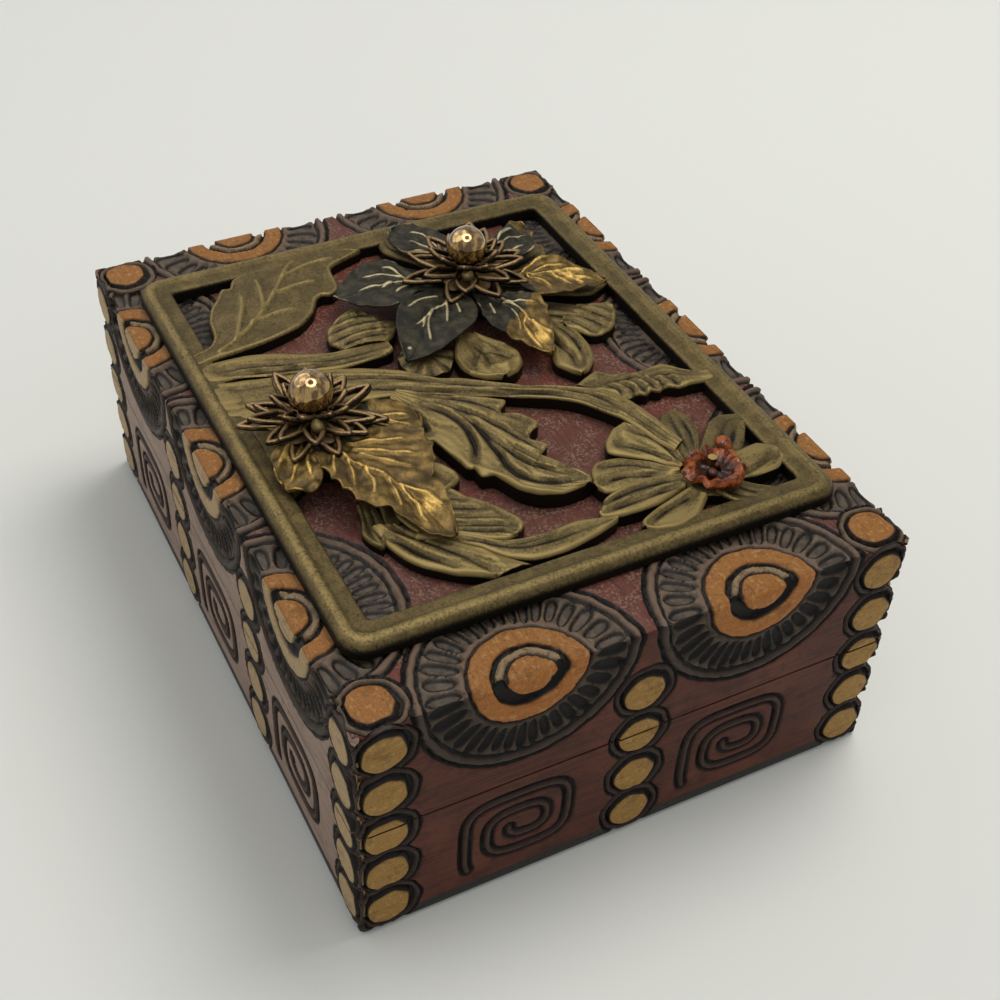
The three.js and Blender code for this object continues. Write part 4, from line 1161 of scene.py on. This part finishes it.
def brass_casting(finish):
    bm = new_sheets()
    cast_border(bm)
    plates = [BROAD_LEAF, LEFT_STEM, MAIN_STEM, CURLED_LEAF, COMB_LEAF, LEFT_BUD, UPPER_BUD, LOWER_PETAL,
              RIBBED_LEAF, BORDER_LEAF, POD_LEAF, SMALL_LEAF, GREY_LOBE,
              VEINED_LOBE, UNDER_GOLD]
    for plate in plates + BACK_PETALS + FLOWER_C_PETALS:
        cast_plate(bm, **plate)
    cast_heap(bm, FLOWER_A, 9.5)
    cast_heap(bm, FLOWER_B, 11.5)
    cast_heap(bm, FLOWER_C, 5.5)
    cast_heap(bm, (-8.5, -3.5), 5.0, lumps=0.3)
    bmesh.ops.recalc_face_normals(bm, faces=bm.faces)
    return settle(bm, "brass_casting", "lid", finish, ["brass_frame"])


# Pressed leaves, with the lines of their raised veins

LEAF_CELL = 0.28
LEAF_GAUGE = 0.35  # thickness of the pressed sheet


def pressed_leaf(node, finish, slot, left, right, veins, arch=1.8, crinkle=0.25, gild=9.0, gild_side=0.0,
                 teeth=0, painted_highlight=(FAR, FAR, 1.0)):
    """A thin leaf between its two edge lines, with raised veins. Gilding starts at a share of it. A painted
    highlight brightens a round spot of it.
    """
    lines, rows, columns = between_lines(left, right, LEAF_CELL, 0.8)
    floor = float(node_box(node)[0][2]) + LEAF_GAUGE
    bm = new_sheets()

    def shape(t, s):
        first, second = (walk(line, t) for line in lines)
        scallop = 1 - 0.07 * np.abs(np.sin(math.pi * teeth * t)) * (teeth > 0)
        flat = first + (second - first) * ((s * scallop + 1) / 2)[:, None]
        relief = np.zeros(len(t))
        lit = np.zeros(len(t))
        for vein in veins:
            gap, share = away_from(flat, dense_line(vein, steps=24))
            fade = np.clip(5 * (1 - share), 0.25, 1)
            relief += (0.24 * dip(gap, 0.32) - 0.18 * dip(gap - 0.85, 0.45)) * fade
            lit = np.maximum(lit, dip(gap, 0.3) * fade)
        wave = np.array([noise.noise((x * 0.45, y * 0.45, arch)) for x, y in flat])
        relief += crinkle * (wave * (1.2 + 1.5 * np.abs(s)) + 0.8 * np.sin(11 * t + 3 * s) * np.abs(s) ** 3)
        lift = arch * np.sin(math.pi * np.clip(t, 0, 1) ** 0.85) + 0.5 * np.abs(s) ** 2 - 0.25 * dip(s, 0.12)
        height = floor + np.maximum(lift + relief, 0.0)
        rim = np.clip((np.abs(s) - 0.9) * 8, 0, 1) * 0.35
        # Painted highlight: the crest, and with it the bright metal colour, rises round the given spot.
        highlight_spot = dip(np.linalg.norm(flat - np.array(painted_highlight[:2]), axis=1), painted_highlight[2])
        crest = np.clip(0.3 + 0.75 * lit + rim + 0.5 * relief + 0.8 * highlight_spot, 0, 1)
        gilding = np.clip((t + gild_side * s - gild) / 0.08, 0, 1)
        return np.column_stack([flat, height]), crest, gilding

    sheet(bm, rows, columns, shape)
    bmesh.ops.recalc_face_normals(bm, faces=bm.faces)
    if sum(face.normal.z for face in bm.faces) < 0:
        bmesh.ops.reverse_faces(bm, faces=bm.faces)
    piece = settle(bm, node + "_pressed", "lid", finish, [node])
    thick = piece.modifiers.new("thickness", "SOLIDIFY")
    thick.thickness = LEAF_GAUGE * MM
    thick.offset = -1
    return piece


# The shine spot of a leaf, a place and a width, is a painted highlight.
PRESSED_LEAVES = {
    "flower_a_leaf_1": ("gilt", {
        "left": [(-23.5, 17), (-18.4, 15.4), (-16, 18.2), (-13.6, 22.1), (-9.6, 21.7), (-5, 20.4),
                 (-1.4, 18.6), (1.3, 16.8)],
        "right": [(-23.5, 12.2), (-17.2, 10.6), (-10.3, 9), (-7.7, 9.9), (-4.7, 11.2), (-2.8, 12.6),
                  (-0.5, 14.3), (1.3, 16.4)],
        "veins": [[(-15.2, 12.5), (-11, 11.6)],
                  [(-14.8, 15), (-12.8, 16.8), (-8.5, 17), (-4.7, 17.7), (-1.6, 18)],
                  [(-12.4, 15.6), (-9.2, 15.4), (-5, 13.7)],
                  [(-8.8, 16.4), (-6.7, 15.4), (-2.7, 15.4), (0.4, 15.8)],
                  [(-16, 15.4), (-14.3, 16), (-13.6, 18.4), (-11.3, 20.6)],
                  [(-7.4, 17.4), (-4.2, 18.8), (-3, 19.4)]],
        "gild": 0.5, "gild_side": -0.12, "teeth": 7, "painted_highlight": (-3.5, 16.6, 2.4),
    }),
    "flower_a_leaf_2": ("gilt", {
        "left": [(-25.4, 19.5), (-24, 23), (-25.1, 27.4), (-24.8, 30.3), (-23, 32.6), (-20.3, 34.4),
                 (-18.1, 36), (-15.4, 37.2)],
        "right": [(-22.6, 18.5), (-19, 20.6), (-15.8, 21.3), (-13.2, 22.6), (-12.7, 25.6), (-12.4, 28.9),
                  (-13.7, 31), (-13.9, 34), (-15, 37.2)],
        "veins": [[(-23.4, 20.6), (-21, 25.2), (-19.7, 29.8), (-17.3, 32.8), (-15.6, 36.6)],
                  [(-22.6, 22.4), (-24, 26.3), (-24.2, 30)], [(-21.8, 23.6), (-22, 28), (-21.2, 32.4)],
                  [(-21.4, 23.4), (-18, 25), (-14.6, 25.6)], [(-20, 28), (-17, 29), (-14, 29.4)],
                  [(-18.8, 31), (-16.4, 31.6), (-14.4, 32.4)], [(-20.2, 29), (-20, 32), (-18.6, 34.6)]],
        "gild": 0.18, "gild_side": -0.14, "teeth": 8, "painted_highlight": (-18.5, 31, 3.0),
    }),
    "flower_a_leaf_3": ("dark_metal", {
        "left": [(-31.6, 17), (-33, 20.8), (-36.5, 24.7), (-39.5, 28.2), (-40, 30.4), (-38, 31.6)],
        "right": [(-28.6, 18.4), (-27.8, 21.4), (-27.2, 24.5), (-27.6, 28), (-31.8, 30.4), (-36.6, 31.9)],
        "veins": [[(-31, 19.6), (-33.6, 24.6), (-34.3, 27.8), (-33.6, 30.4)],
                  [(-30, 19.4), (-29.8, 25.2), (-31.4, 28.6)],
                  [(-31.6, 20.6), (-35.6, 25.2), (-37.6, 29.4)]],
        "gild": 0.75, "crinkle": 0.4,
    }),
    "flower_a_leaf_4": ("dark_metal", {
        "left": [(-30.6, 14.6), (-33.6, 15), (-39.2, 14.2), (-44, 12.8), (-47, 11), (-48.2, 8.7),
                 (-48.2, 7.2)],
        "right": [(-30.4, 11.8), (-33.4, 9.6), (-35.2, 6.4), (-37.4, 4.4), (-41.4, 4.3), (-45.4, 5.4),
                  (-47.9, 6.6)],
        "veins": [[(-33, 12.6), (-38.2, 11.6), (-41.5, 11.1), (-43.6, 9.8), (-44.6, 8.2)],
                  [(-34, 12.2), (-37.8, 10), (-40.2, 8.6), (-41, 6.8)],
                  [(-33.6, 11.2), (-36.4, 8.2), (-37.2, 6)]],
    }),
    "flower_a_leaf_5": ("dark_metal", {
        "left": [(-29.8, 9.6), (-31.4, 5), (-33.2, 2.2), (-35.8, 0), (-36.7, -3), (-36.2, -5.8),
                 (-34.2, -8.8), (-31.4, -12.2)],
        "right": [(-26.4, 9.2), (-24.6, 3.4), (-23.2, 0.4), (-21.4, -2.4), (-21.6, -5.1), (-24.3, -8.2),
                  (-27.2, -10.6), (-30.7, -12.2)],
        "veins": [[(-28.6, 4.6), (-30, 1.4), (-32, -1.8), (-33, -5.2), (-32.4, -7)],
                  [(-28.2, 3), (-29.1, -0.9), (-28.5, -4.4)], [(-27.6, 3), (-26.6, 0.2), (-25.2, -2.4)],
                  [(-29, -1.4), (-29.8, -5), (-29.6, -8.4)], [(-30.4, 1.4), (-33.4, 0), (-34.6, -1.6)]],
    }),
    "flower_a_leaf_6": ("dark_metal", {
        "left": [(-24.6, 9.6), (-20.6, 9.6), (-17, 9.8), (-13.2, 9), (-10.6, 7.2), (-8.8, 3.8), (-7.3, 0),
                 (-6.3, -3.6), (-7, -7.6)],
        "right": [(-26.4, 8), (-24.4, 4.4), (-23.2, 1.4), (-22.4, -1.2), (-20.4, -3.6), (-16.7, -5.8),
                  (-13.2, -6.9), (-10.4, -7.4), (-7.4, -7.9)],
        "veins": [[(-21, 7), (-18.7, 4.8), (-17.6, 2.2), (-15.6, -0.8), (-14, -4.1)],
                  [(-17.4, 1.8), (-14.4, -0.4), (-8.8, -2.4)], [(-18.6, 5.2), (-15.9, 4.1), (-12.2, 2.3)],
                  [(-17.4, 6.8), (-14, 5.9)], [(-21.4, 4.6), (-21.2, 1), (-19.2, -2.8)],
                  [(-15.8, -0.4), (-13.4, -2)]],
        "arch": 2.0, "crinkle": 0.12, "painted_highlight": (-9.8, -6.2, 0.5),
    }),
    "flower_b_leaf_1": ("gilt", {
        "left": [(5.5, -24.5), (8.4, -20.8), (10.4, -17.4), (13, -15), (17, -14.4), (20, -15),
                 (22.8, -16.2), (24.8, -17.8), (26.4, -17.4), (28.6, -17), (31.6, -17.6), (34.8, -18.5),
                 (37, -19.4)],
        "right": [(6, -32), (10.4, -32.6), (14.6, -33.6), (18.4, -33.2), (22.6, -32.4), (25.8, -31.4),
                  (27.6, -29.4), (28.8, -27.2), (30.4, -26.6), (32.6, -25.6), (35.1, -23.7),
                  (36.4, -21.9), (37.1, -19.8)],
        "veins": [[(9, -28.6), (14, -28.6), (18.4, -27), (22.4, -24), (28, -22.8), (33.6, -21.4)],
                  [(11, -26.6), (13, -22), (15.4, -17.6)], [(13, -26.4), (16.6, -21.6), (19.6, -17)],
                  [(15, -26.2), (19, -22.2), (22.4, -18.6)], [(12, -29.4), (15.4, -31), (19, -32)],
                  [(15.6, -28.6), (19.4, -29.2), (23.4, -30.6)], [(19, -27), (22.6, -27), (26, -28.4)],
                  [(22.6, -24.4), (26.6, -24.6), (30, -25.4)],
                  [(24.4, -23.2), (27.6, -20.6), (30.4, -18.8)],
                  [(28.4, -22.4), (31.6, -22.8), (34, -22.6)]],
        "arch": 2.3, "crinkle": 0.3, "gild": 0.1, "teeth": 11, "painted_highlight": (30, -20.6, 2.6),
    }),
    "flower_b_leaf_2": ("gilt", {
        "left": [(1.8, -24.6), (2.4, -19), (3.4, -15), (5.4, -12.9), (7, -12.5)],
        "right": [(5.6, -25), (8.6, -20), (11.8, -16.6), (11.6, -13.8), (8, -12.5)],
        "veins": [[(4, -23), (6, -17.4), (7.6, -13.4)], [(5, -20.8), (8.6, -17), (10.8, -14.6)]],
        "arch": 1.0, "gild": 0.3,
    }),
    "flower_b_leaf_3": ("gilt", {
        "left": [(5.4, -30.4), (9.4, -32), (13.8, -32.6), (16.4, -33.2), (18.6, -35), (18.4, -37.4),
                 (16.8, -39.2)],
        "right": [(3.4, -32.4), (5, -35), (7.2, -36.4), (7.6, -38), (8.6, -39.2), (12, -39.9),
                  (15.6, -39.8)],
        "veins": [[(6.4, -32.8), (10, -35), (13.4, -37), (16, -38.6)],
                  [(9, -33), (12.6, -34.4), (16.6, -35.2)], [(6.8, -34.6), (9, -37), (11.6, -38.8)]],
        "arch": 1.2, "crinkle": 0.5, "gild": -1.0, "painted_highlight": (10.5, -36, 1.6),
    }),
}


# Wire rosettes, cups, beads and the broken seat


def wire_loop(spline, middle, floor, angle, reach, width, lean):
    """One pointed loop of wire, out from the middle and back. Doubled places keep its bends tight."""
    outline = [(1.6, 0), (0.5 * reach, width / 2), (0.84 * reach, width * 0.3), (reach, 0),
               (0.84 * reach, -width * 0.3), (0.5 * reach, -width / 2)]
    doubled = [outline[k] for k in (0, 1, 1, 2, 3, 3, 3, 4, 5, 5, 0)]
    spline.points.add(len(doubled) - 1)
    for point, (out, across) in zip(spline.points, doubled):
        x = middle[0] + out * math.cos(lean) * math.cos(angle) - across * math.sin(angle)
        y = middle[1] + out * math.cos(lean) * math.sin(angle) + across * math.cos(angle)
        z = floor + 0.55 + out * math.sin(lean) + 0.03 * across ** 2
        point.co = (x * MM, y * MM, z * MM, 1)
    spline.use_cyclic_u = True
    spline.order_u = 3


def wire_rosette(node, middle, floor, layers, wire, finish):
    """Loops of wire in layers. Each layer has a count, a reach, a width, a lean and a first angle."""
    curve = bpy.data.curves.new(node + "_wires", "CURVE")
    curve.dimensions = "3D"
    curve.bevel_depth = wire * MM / 2
    curve.bevel_resolution = 2
    curve.resolution_u = 6
    for count, reach, width, lean, first in layers:
        for k in range(count):
            angle = math.radians(first) + 2 * math.pi * k / count + 0.06 * math.sin(3 * k)
            tilt = lean + 0.08 * math.sin(2.3 * k + first)
            long = reach * (1 + 0.07 * math.sin(4.1 * k + first))
            wire_loop(curve.splines.new("NURBS"), middle, floor, angle, long, width, tilt)
    holder = set_out(node + "_holder", curve)
    mesh = bpy.data.meshes.new_from_object(holder.evaluated_get(bpy.context.evaluated_depsgraph_get()))
    bpy.data.objects.remove(holder)
    bm = bmesh.new()
    bm.from_mesh(mesh)
    verts = bmesh.ops.create_circle(bm, cap_ends=True, cap_tris=True, segments=48, radius=1)["verts"]
    for vert in verts:
        angle = math.atan2(vert.co.y, vert.co.x)
        reach = vert.co.to_2d().length * (7.4 + 0.9 * math.cos(8 * angle))
        height = floor + 0.5 + (0.5 if reach > 1 else 0.0)
        vert.co = (middle[0] + reach * math.cos(angle), middle[1] + reach * math.sin(angle), height)
        vert.co *= MM
    bm.to_mesh(mesh)
    bm.free()
    return settle_mesh(mesh, node + "_wired", "lid", finish, [node])


def metal_grain(name, middle, degrees, away, height, finish):
    """The oval grain of metal that sits in front of a rosette's hub."""
    angle = math.radians(degrees)
    bm = bmesh.new()
    crest = bm.verts.layers.float.new("crest")
    verts = bmesh.ops.create_uvsphere(bm, u_segments=24, v_segments=16, radius=1)["verts"]
    for vert in verts:
        vert[crest] = 0.7
    bmesh.ops.scale(bm, vec=(1.5, 1.15, 1.0), verts=verts)
    bmesh.ops.rotate(bm, matrix=Matrix.Rotation(angle, 3, "Z"), verts=verts)
    place = (middle[0] + away * math.cos(angle), middle[1] + away * math.sin(angle), height)
    bmesh.ops.translate(bm, vec=place, verts=verts)
    return settle(bm, name, "lid", finish, [])


def turned(bm, profile, steps, middle):
    """A turned shape: a profile of radii and heights spun round an upright axis."""
    verts = [bm.verts.new((radius, 0, height)) for radius, height in profile]
    edges = [bm.edges.new(pair) for pair in zip(verts, verts[1:])]
    bmesh.ops.spin(bm, geom=verts + edges, cent=(0, 0, 0), axis=(0, 0, 1),
                   angle=2 * math.pi, steps=steps, use_merge=True)
    bmesh.ops.remove_doubles(bm, verts=bm.verts[:], dist=1e-3)
    bmesh.ops.translate(bm, vec=(middle[0], middle[1], 0), verts=bm.verts)
    bmesh.ops.recalc_face_normals(bm, faces=bm.faces)


def round_about(vert, middle):
    """A vertex's offset from an upright axis, and its angle round it."""
    away = Vector((vert.co.x - middle[0], vert.co.y - middle[1]))
    return away, math.atan2(away.y, away.x)


def bead_cup(node, middle, finish):
    low, high = node_box(node)
    bm = bmesh.new()
    foot, rim = low[2], high[2]
    rise = rim - foot
    profile = [(0, foot), (2.4, foot), (1.9, foot + 0.25 * rise), (2.3, foot + 0.6 * rise), (3.3, rim),
               (3.1, rim + 0.1), (1.9, foot + 0.7 * rise), (0, foot + 0.55 * rise)]
    turned(bm, profile, 48, middle)
    for vert in bm.verts:
        away, angle = round_about(vert, middle)
        flare = max(0.0, (vert.co.z - foot) / rise)
        ripple = 1 + 0.09 * flare * math.cos(12 * angle)
        vert.co.x = middle[0] + away.x * ripple
        vert.co.y = middle[1] + away.y * ripple
    return settle(bm, node + "_fluted", "lid", finish, [node])


def round_bead(node, finish):
    low, high = node_box(node)
    bm = bmesh.new()
    radius = (high[2] - low[2]) / 2
    verts = bmesh.ops.create_uvsphere(bm, u_segments=48, v_segments=32, radius=radius)["verts"]
    bmesh.ops.translate(bm, vec=(low + high) / 2, verts=verts)
    return settle(bm, node + "_round", "lid", finish, [node])


SEAT_REACH = 4.9


def copper_seat(node, middle, finish):
    """The seat of the lost flower: a broken ring round a dark hollow, with a tab at its rim."""
    low, _ = node_box(node)
    floor = low[2]
    bm = bmesh.new()
    crest = bm.verts.layers.float.new("crest")
    profile = [(1.0, floor), (3.9, floor), (4.7, floor + 0.5), (SEAT_REACH, floor + 1.2), (4.3, floor + 2.0),
               (3.6, floor + 1.9), (2.9, floor + 1.0), (2.2, floor + 0.5), (1.0, floor + 0.6), (1.0, floor)]
    turned(bm, profile, 72, middle)
    for vert in bm.verts:
        away, angle = round_about(vert, middle)
        out = away.length / SEAT_REACH
        vert[crest] = min(1.0, max(0.0, (out - 0.5) * 3))
        waves = 0.09 * math.sin(3 * angle + 1) + 0.06 * math.sin(7 * angle) + 0.05 * math.sin(13 * angle)
        lump = 1 + out * waves
        vert.co.x = middle[0] + away.x * lump
        vert.co.y = middle[1] + away.y * lump * 1.08
        torn = 0.3 * math.sin(2 * angle + 0.6) + 0.16 * math.sin(9 * angle)
        vert.co.z += max(0.0, vert.co.z - floor) * torn
    lumps = ((middle[0] - 4.8, middle[1] + 4.6, 1.5, 1.1, 1.0),
             (middle[0] + 0.6, middle[1] - 1.0, 0.9, 0.9, 0.25),
             (middle[0] - 1.2, middle[1] + 0.9, 0.8, 0.7, 0.3))
    for x, y, radius, height, shade in lumps:
        verts = bmesh.ops.create_uvsphere(bm, u_segments=20, v_segments=12, radius=radius)["verts"]
        bmesh.ops.scale(bm, vec=(1.15, 0.9, 0.75), verts=verts)
        bmesh.ops.translate(bm, vec=(x, y, floor + height), verts=verts)
        for vert in verts:
            vert[crest] = shade
    return settle(bm, node + "_broken", "lid", finish, [node])


# The metals' finishes

METAL_EDGE = 0.22  # mirroring of the worn metals at a slant


def aged_metal(name, deep, body, wear_and_highlight, roughness=0.42, mottle=0.4, crest=True, grain=0.05, metallic=1.0):
    """Metal that is dark where it is sunk and bright where it is rubbed. Without the crest attribute it goes
    by facing: painted shade on faces turned down, rubbed wear and a painted highlight on faces turned up.
    """
    metal = Finish(name, Metallic=metallic, Specular_IOR_Level=METAL_EDGE)
    cloud = metal.noise(0.25, detail=4, roughness=0.6)
    fine = metal.noise(2.4, detail=3, roughness=0.6)
    worn = metal.step(cloud * 0.75 + fine * 0.25, 0.42, 0.62)
    colour = metal.mix(worn * mottle, body, wear_and_highlight)
    colour = metal.mix(metal.step(metal.noise(0.9, detail=4, roughness=0.7), 0.46, 0.36) * 0.3, colour, deep)
    colour = metal.mix(metal.step(fine, 0.5, 0.34) * 0.35, colour, deep)
    if crest:
        height = metal.attribute("crest")
        colour = metal.mix(metal.step(height + (fine - 0.5) * 0.25, 0.46, 0.14), colour, deep)
        colour = metal.mix(metal.step(height + (fine - 0.5) * 0.5, 0.64, 0.95) * 0.8, colour, wear_and_highlight)
    else:
        # Painted light: faces turned down get painted shade, faces turned up rubbed wear with a painted
        # highlight.
        up = metal.upward() + (fine - 0.5) * 0.4
        colour = metal.mix(metal.step(up, 0.35, -0.3), colour, deep)
        colour = metal.mix(metal.step(up, 0.66, 1.0) * 0.8, colour, wear_and_highlight)
    gloss = roughness + 0.2 * (fine - 0.5)
    return metal.dress(Base_Color=colour, Roughness=gloss, Normal=metal.bump(fine, grain, 0.6))


def leaf_metal():
    """Blackened pressed metal with rubbed veins, and worn gilding where a leaf has it. Its bright crest
    colours also carry the leaves' painted highlights.
    """
    leaf = Finish("pressed_leaf_metal", Metallic=0.5, Specular_IOR_Level=METAL_EDGE)
    fine = leaf.noise(2.6, detail=3, roughness=0.65)
    cloud = leaf.noise(0.5, detail=3)
    height = leaf.attribute("crest")
    gilding = leaf.step(leaf.attribute("gilt") + (cloud - 0.5) * 0.9, 0.4, 0.6)
    dark = leaf.mix(leaf.step(cloud, 0.4, 0.65) * 0.6, paint(38, 37, 29), paint(72, 65, 47))
    dark = leaf.mix(leaf.step(fine, 0.5, 0.36) * 0.5, dark, paint(18, 18, 16))
    dark = leaf.mix(leaf.step(height + (fine - 0.5) * 0.2, 0.62, 0.95) * 0.85, dark, paint(178, 164, 126))
    gold = leaf.mix(leaf.step(cloud + (fine - 0.5) * 0.3, 0.4, 0.62), paint(84, 66, 31), paint(116, 93, 47))
    gold = leaf.mix(leaf.step(fine, 0.48, 0.32) * 0.4, gold, paint(66, 52, 30))
    gold = leaf.mix(leaf.step(height, 0.3, 0.08) * 0.7, gold, paint(54, 42, 24))
    gold = leaf.mix(leaf.step(height + (fine - 0.5) * 0.6, 0.64, 1.15) * 0.75, gold, paint(222, 182, 100))
    colour = leaf.mix(gilding, dark, gold)
    gloss = 0.52 - gilding * 0.08 + 0.2 * (fine - 0.5)
    return leaf.dress(Base_Color=colour, Roughness=gloss, Normal=leaf.bump(fine, 0.08, 0.6))


def bead_glaze():
    bead = Finish("gold_brown_glaze", Metallic=0.8, Roughness=0.07, Coat_Weight=1.0, Coat_Roughness=0.03)
    streak = bead.noise(0.9, (1, 1, 0.5), detail=3)
    colour = bead.mix(bead.step(streak, 0.4, 0.62), paint(104, 76, 36), paint(190, 154, 90))
    return bead.dress(Base_Color=colour)


def copper_enamel():
    enamel = Finish("copper_enamel", Specular_IOR_Level=0.1, Coat_Weight=0.35, Coat_Roughness=0.1)
    patch = enamel.noise(0.8, detail=4)
    height = enamel.attribute("crest")
    fleck = enamel.step(enamel.noise(2.2, detail=2), 0.6, 0.7)
    colour = enamel.mix(enamel.step(patch, 0.4, 0.6), paint(84, 34, 12), paint(154, 76, 24))
    colour = enamel.mix(fleck * 0.5, colour, paint(206, 132, 60))
    colour = enamel.mix(enamel.step(height, 0.6, 0.1), colour, paint(48, 18, 10))
    return enamel.dress(Base_Color=colour, Roughness=0.2 + 0.25 * patch, Normal=enamel.bump(patch, 0.35, 0.7))


WOOD = carved_wood()
OLD_BRASS = aged_metal("old_brass", paint(22, 18, 10), paint(85, 72, 42), paint(138, 119, 72),
                       roughness=0.52, mottle=0.3, metallic=0.5)
DARK_WIRE = aged_metal("dark_bronze_wire", paint(12, 9, 6), paint(44, 33, 21), paint(150, 122, 84),
                       roughness=0.42, mottle=0.4, crest=False, metallic=0.7)
HUB = aged_metal("bronze_hub", paint(26, 12, 8), paint(58, 32, 22), paint(104, 74, 50),
                 roughness=0.4, mottle=0.3, crest=False, metallic=0.6)
HINGE_BRASS = aged_metal("hinge_brass", paint(96, 76, 40), paint(158, 130, 74), paint(196, 168, 104),
                         roughness=0.36, crest=False)
LEAF = leaf_metal()
BEAD = bead_glaze()
COPPER = copper_enamel()

# Boards

SIDE_WAYS = {"front": (0, (0, 1)), "right": (1, (-1, 0)), "back": (0, (0, -1)), "left": (1, (1, 0))}
WALL = 7.0  # thickness of the boards, which their mitres run through
carved_board("bottom_board", "base", WOOD)
for body in ("base", "lid"):
    for side, (run_axis, inward) in SIDE_WAYS.items():
        carved_board(f"{body}_{side}", body, WOOD, WALL, run_axis, inward)
carved_board("lid_top", "lid", WOOD)

# Metalwork

brass_casting(OLD_BRASS)
for node, (slot, form) in PRESSED_LEAVES.items():
    pressed_leaf(node, LEAF, slot, **form)

WIRE = 1.0
GRAIN_AWAY = 5.6  # from the middle of the rosette
GRAIN_HEIGHT = 3.0
SEAT_SHIFT = 1.2
# Each layer of loops: how many, reach, width, lean out of the flat and first angle
ROSETTE_A = [(8, 12.0, 4.4, 0.06, 2), (8, 10.8, 4.0, 0.24, -27), (8, 7.4, 3.2, 0.6, 12)]
ROSETTE_B = [(11, 11.6, 3.4, 0.05, 0), (10, 10.4, 3.2, 0.2, -18), (9, 7.2, 2.8, 0.55, 8)]
FLOWERS = (("flower_a", FLOWER_A, ROSETTE_A, -24), ("flower_b", FLOWER_B, ROSETTE_B, -12))
for flower, middle, layers, grain_angle in FLOWERS:
    rosette = flower + "_rosette"
    floor = float(node_box(rosette)[0][2])
    wire_rosette(rosette, middle, floor, layers, WIRE, DARK_WIRE)
    bead_cup(flower + "_cup", middle, HUB)
    round_bead(flower + "_bead", BEAD)
    metal_grain(flower + "_grain", middle, grain_angle, GRAIN_AWAY, floor + GRAIN_HEIGHT, OLD_BRASS)
copper_seat("flower_c_seat", (FLOWER_C[0] + SEAT_SHIFT, FLOWER_C[1]), COPPER)

for name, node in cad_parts.items():
    if name.startswith("hinge") or name.endswith("pin"):
        node.data.materials.clear()
        node.data.materials.append(HINGE_BRASS)

# Floor, light and camera

WHITE_FLOOR = paint(230, 231, 225)


def pale_floor():
    floor = Finish("pale_floor", Roughness=0.7)
    mottle = floor.noise(0.02, detail=2)
    return floor.dress(Base_Color=floor.mix(mottle * 0.1, WHITE_FLOOR, paint(220, 221, 215)))


def lay_floor():
    bm = bmesh.new()
    bmesh.ops.create_circle(bm, cap_ends=True, segments=64, radius=4.0)
    mesh = bpy.data.meshes.new("floor")
    bm.to_mesh(mesh)
    bm.free()
    mesh.materials.append(pale_floor())
    set_out("floor", mesh)


def light_world(strength):
    """Even light from all round."""
    world = bpy.data.worlds.new("studio")
    world.use_nodes = True
    bpy.context.scene.world = world
    background = world.node_tree.nodes["Background"]
    background.inputs["Color"].default_value = (0.97, 0.985, 1.0, 1.0)
    background.inputs["Strength"].default_value = strength


def soft_lamp(name, place, aim, size, power, colour=(1, 1, 1)):
    data = bpy.data.lights.new(name, "AREA")
    data.shape = "DISK"
    data.size = size
    data.energy = power
    data.color = colour
    lamp = set_out(name, data)
    lamp.location = place
    lamp.rotation_euler = (Vector(aim) - Vector(place)).to_track_quat("-Z", "Y").to_euler()
    return lamp


def ring_light(middle, aim, radius, lamps, size, power):
    """A ring of small lamps that shows only where a glossy surface mirrors it."""
    middle, aim = Vector(middle), Vector(aim)
    turn = (aim - middle).to_track_quat("-Z", "Y").to_matrix()
    for k in range(lamps):
        angle = 2 * math.pi * k / lamps
        place = middle + turn @ Vector((radius * math.cos(angle), radius * math.sin(angle), 0))
        lamp = soft_lamp(f"ring_{k}", place, aim, size, power / lamps)
        lamp.visible_diffuse = False
        lamp.visible_camera = False


CAMERA_PLACE = Vector((0.19133, -0.09566, 0.21270))
CAMERA_AIM = Vector((-0.00662, 0.01172, 0.01299))
CAMERA_ROLL = math.radians(2.48)
CAMERA_LENS = 54.47


def set_camera():
    data = bpy.data.cameras.new("camera")
    data.lens = CAMERA_LENS
    data.sensor_width = 36
    data.clip_start = 0.01
    camera = set_out("camera", data)
    look = (CAMERA_AIM - CAMERA_PLACE).to_track_quat("-Z", "Y").to_matrix()
    turn = look @ Matrix.Rotation(CAMERA_ROLL, 3, "Z")
    camera.matrix_world = Matrix.Translation(CAMERA_PLACE) @ turn.to_4x4()
    bpy.context.scene.camera = camera


SKY_STRENGTH = 0.52
lay_floor()
light_world(SKY_STRENGTH)
ceiling = soft_lamp("ceiling", (-0.12, 0.4, 0.9), (0, 0, 0.03), 0.6, 4.8, (1.0, 0.97, 0.92))
ceiling.visible_glossy = False
glow = soft_lamp("glow", (-0.5, -0.4, 0.7), (0, 0, 0.05), 1.3, 6.0, (1.0, 0.95, 0.86))
glow.visible_diffuse = False
ring_light((0.055, -0.03, 0.43), (-0.015, -0.005, 0.058), 0.135, 12, 0.1, 1.2)
set_camera()
bpy.context.scene.view_settings.view_transform = "Standard"
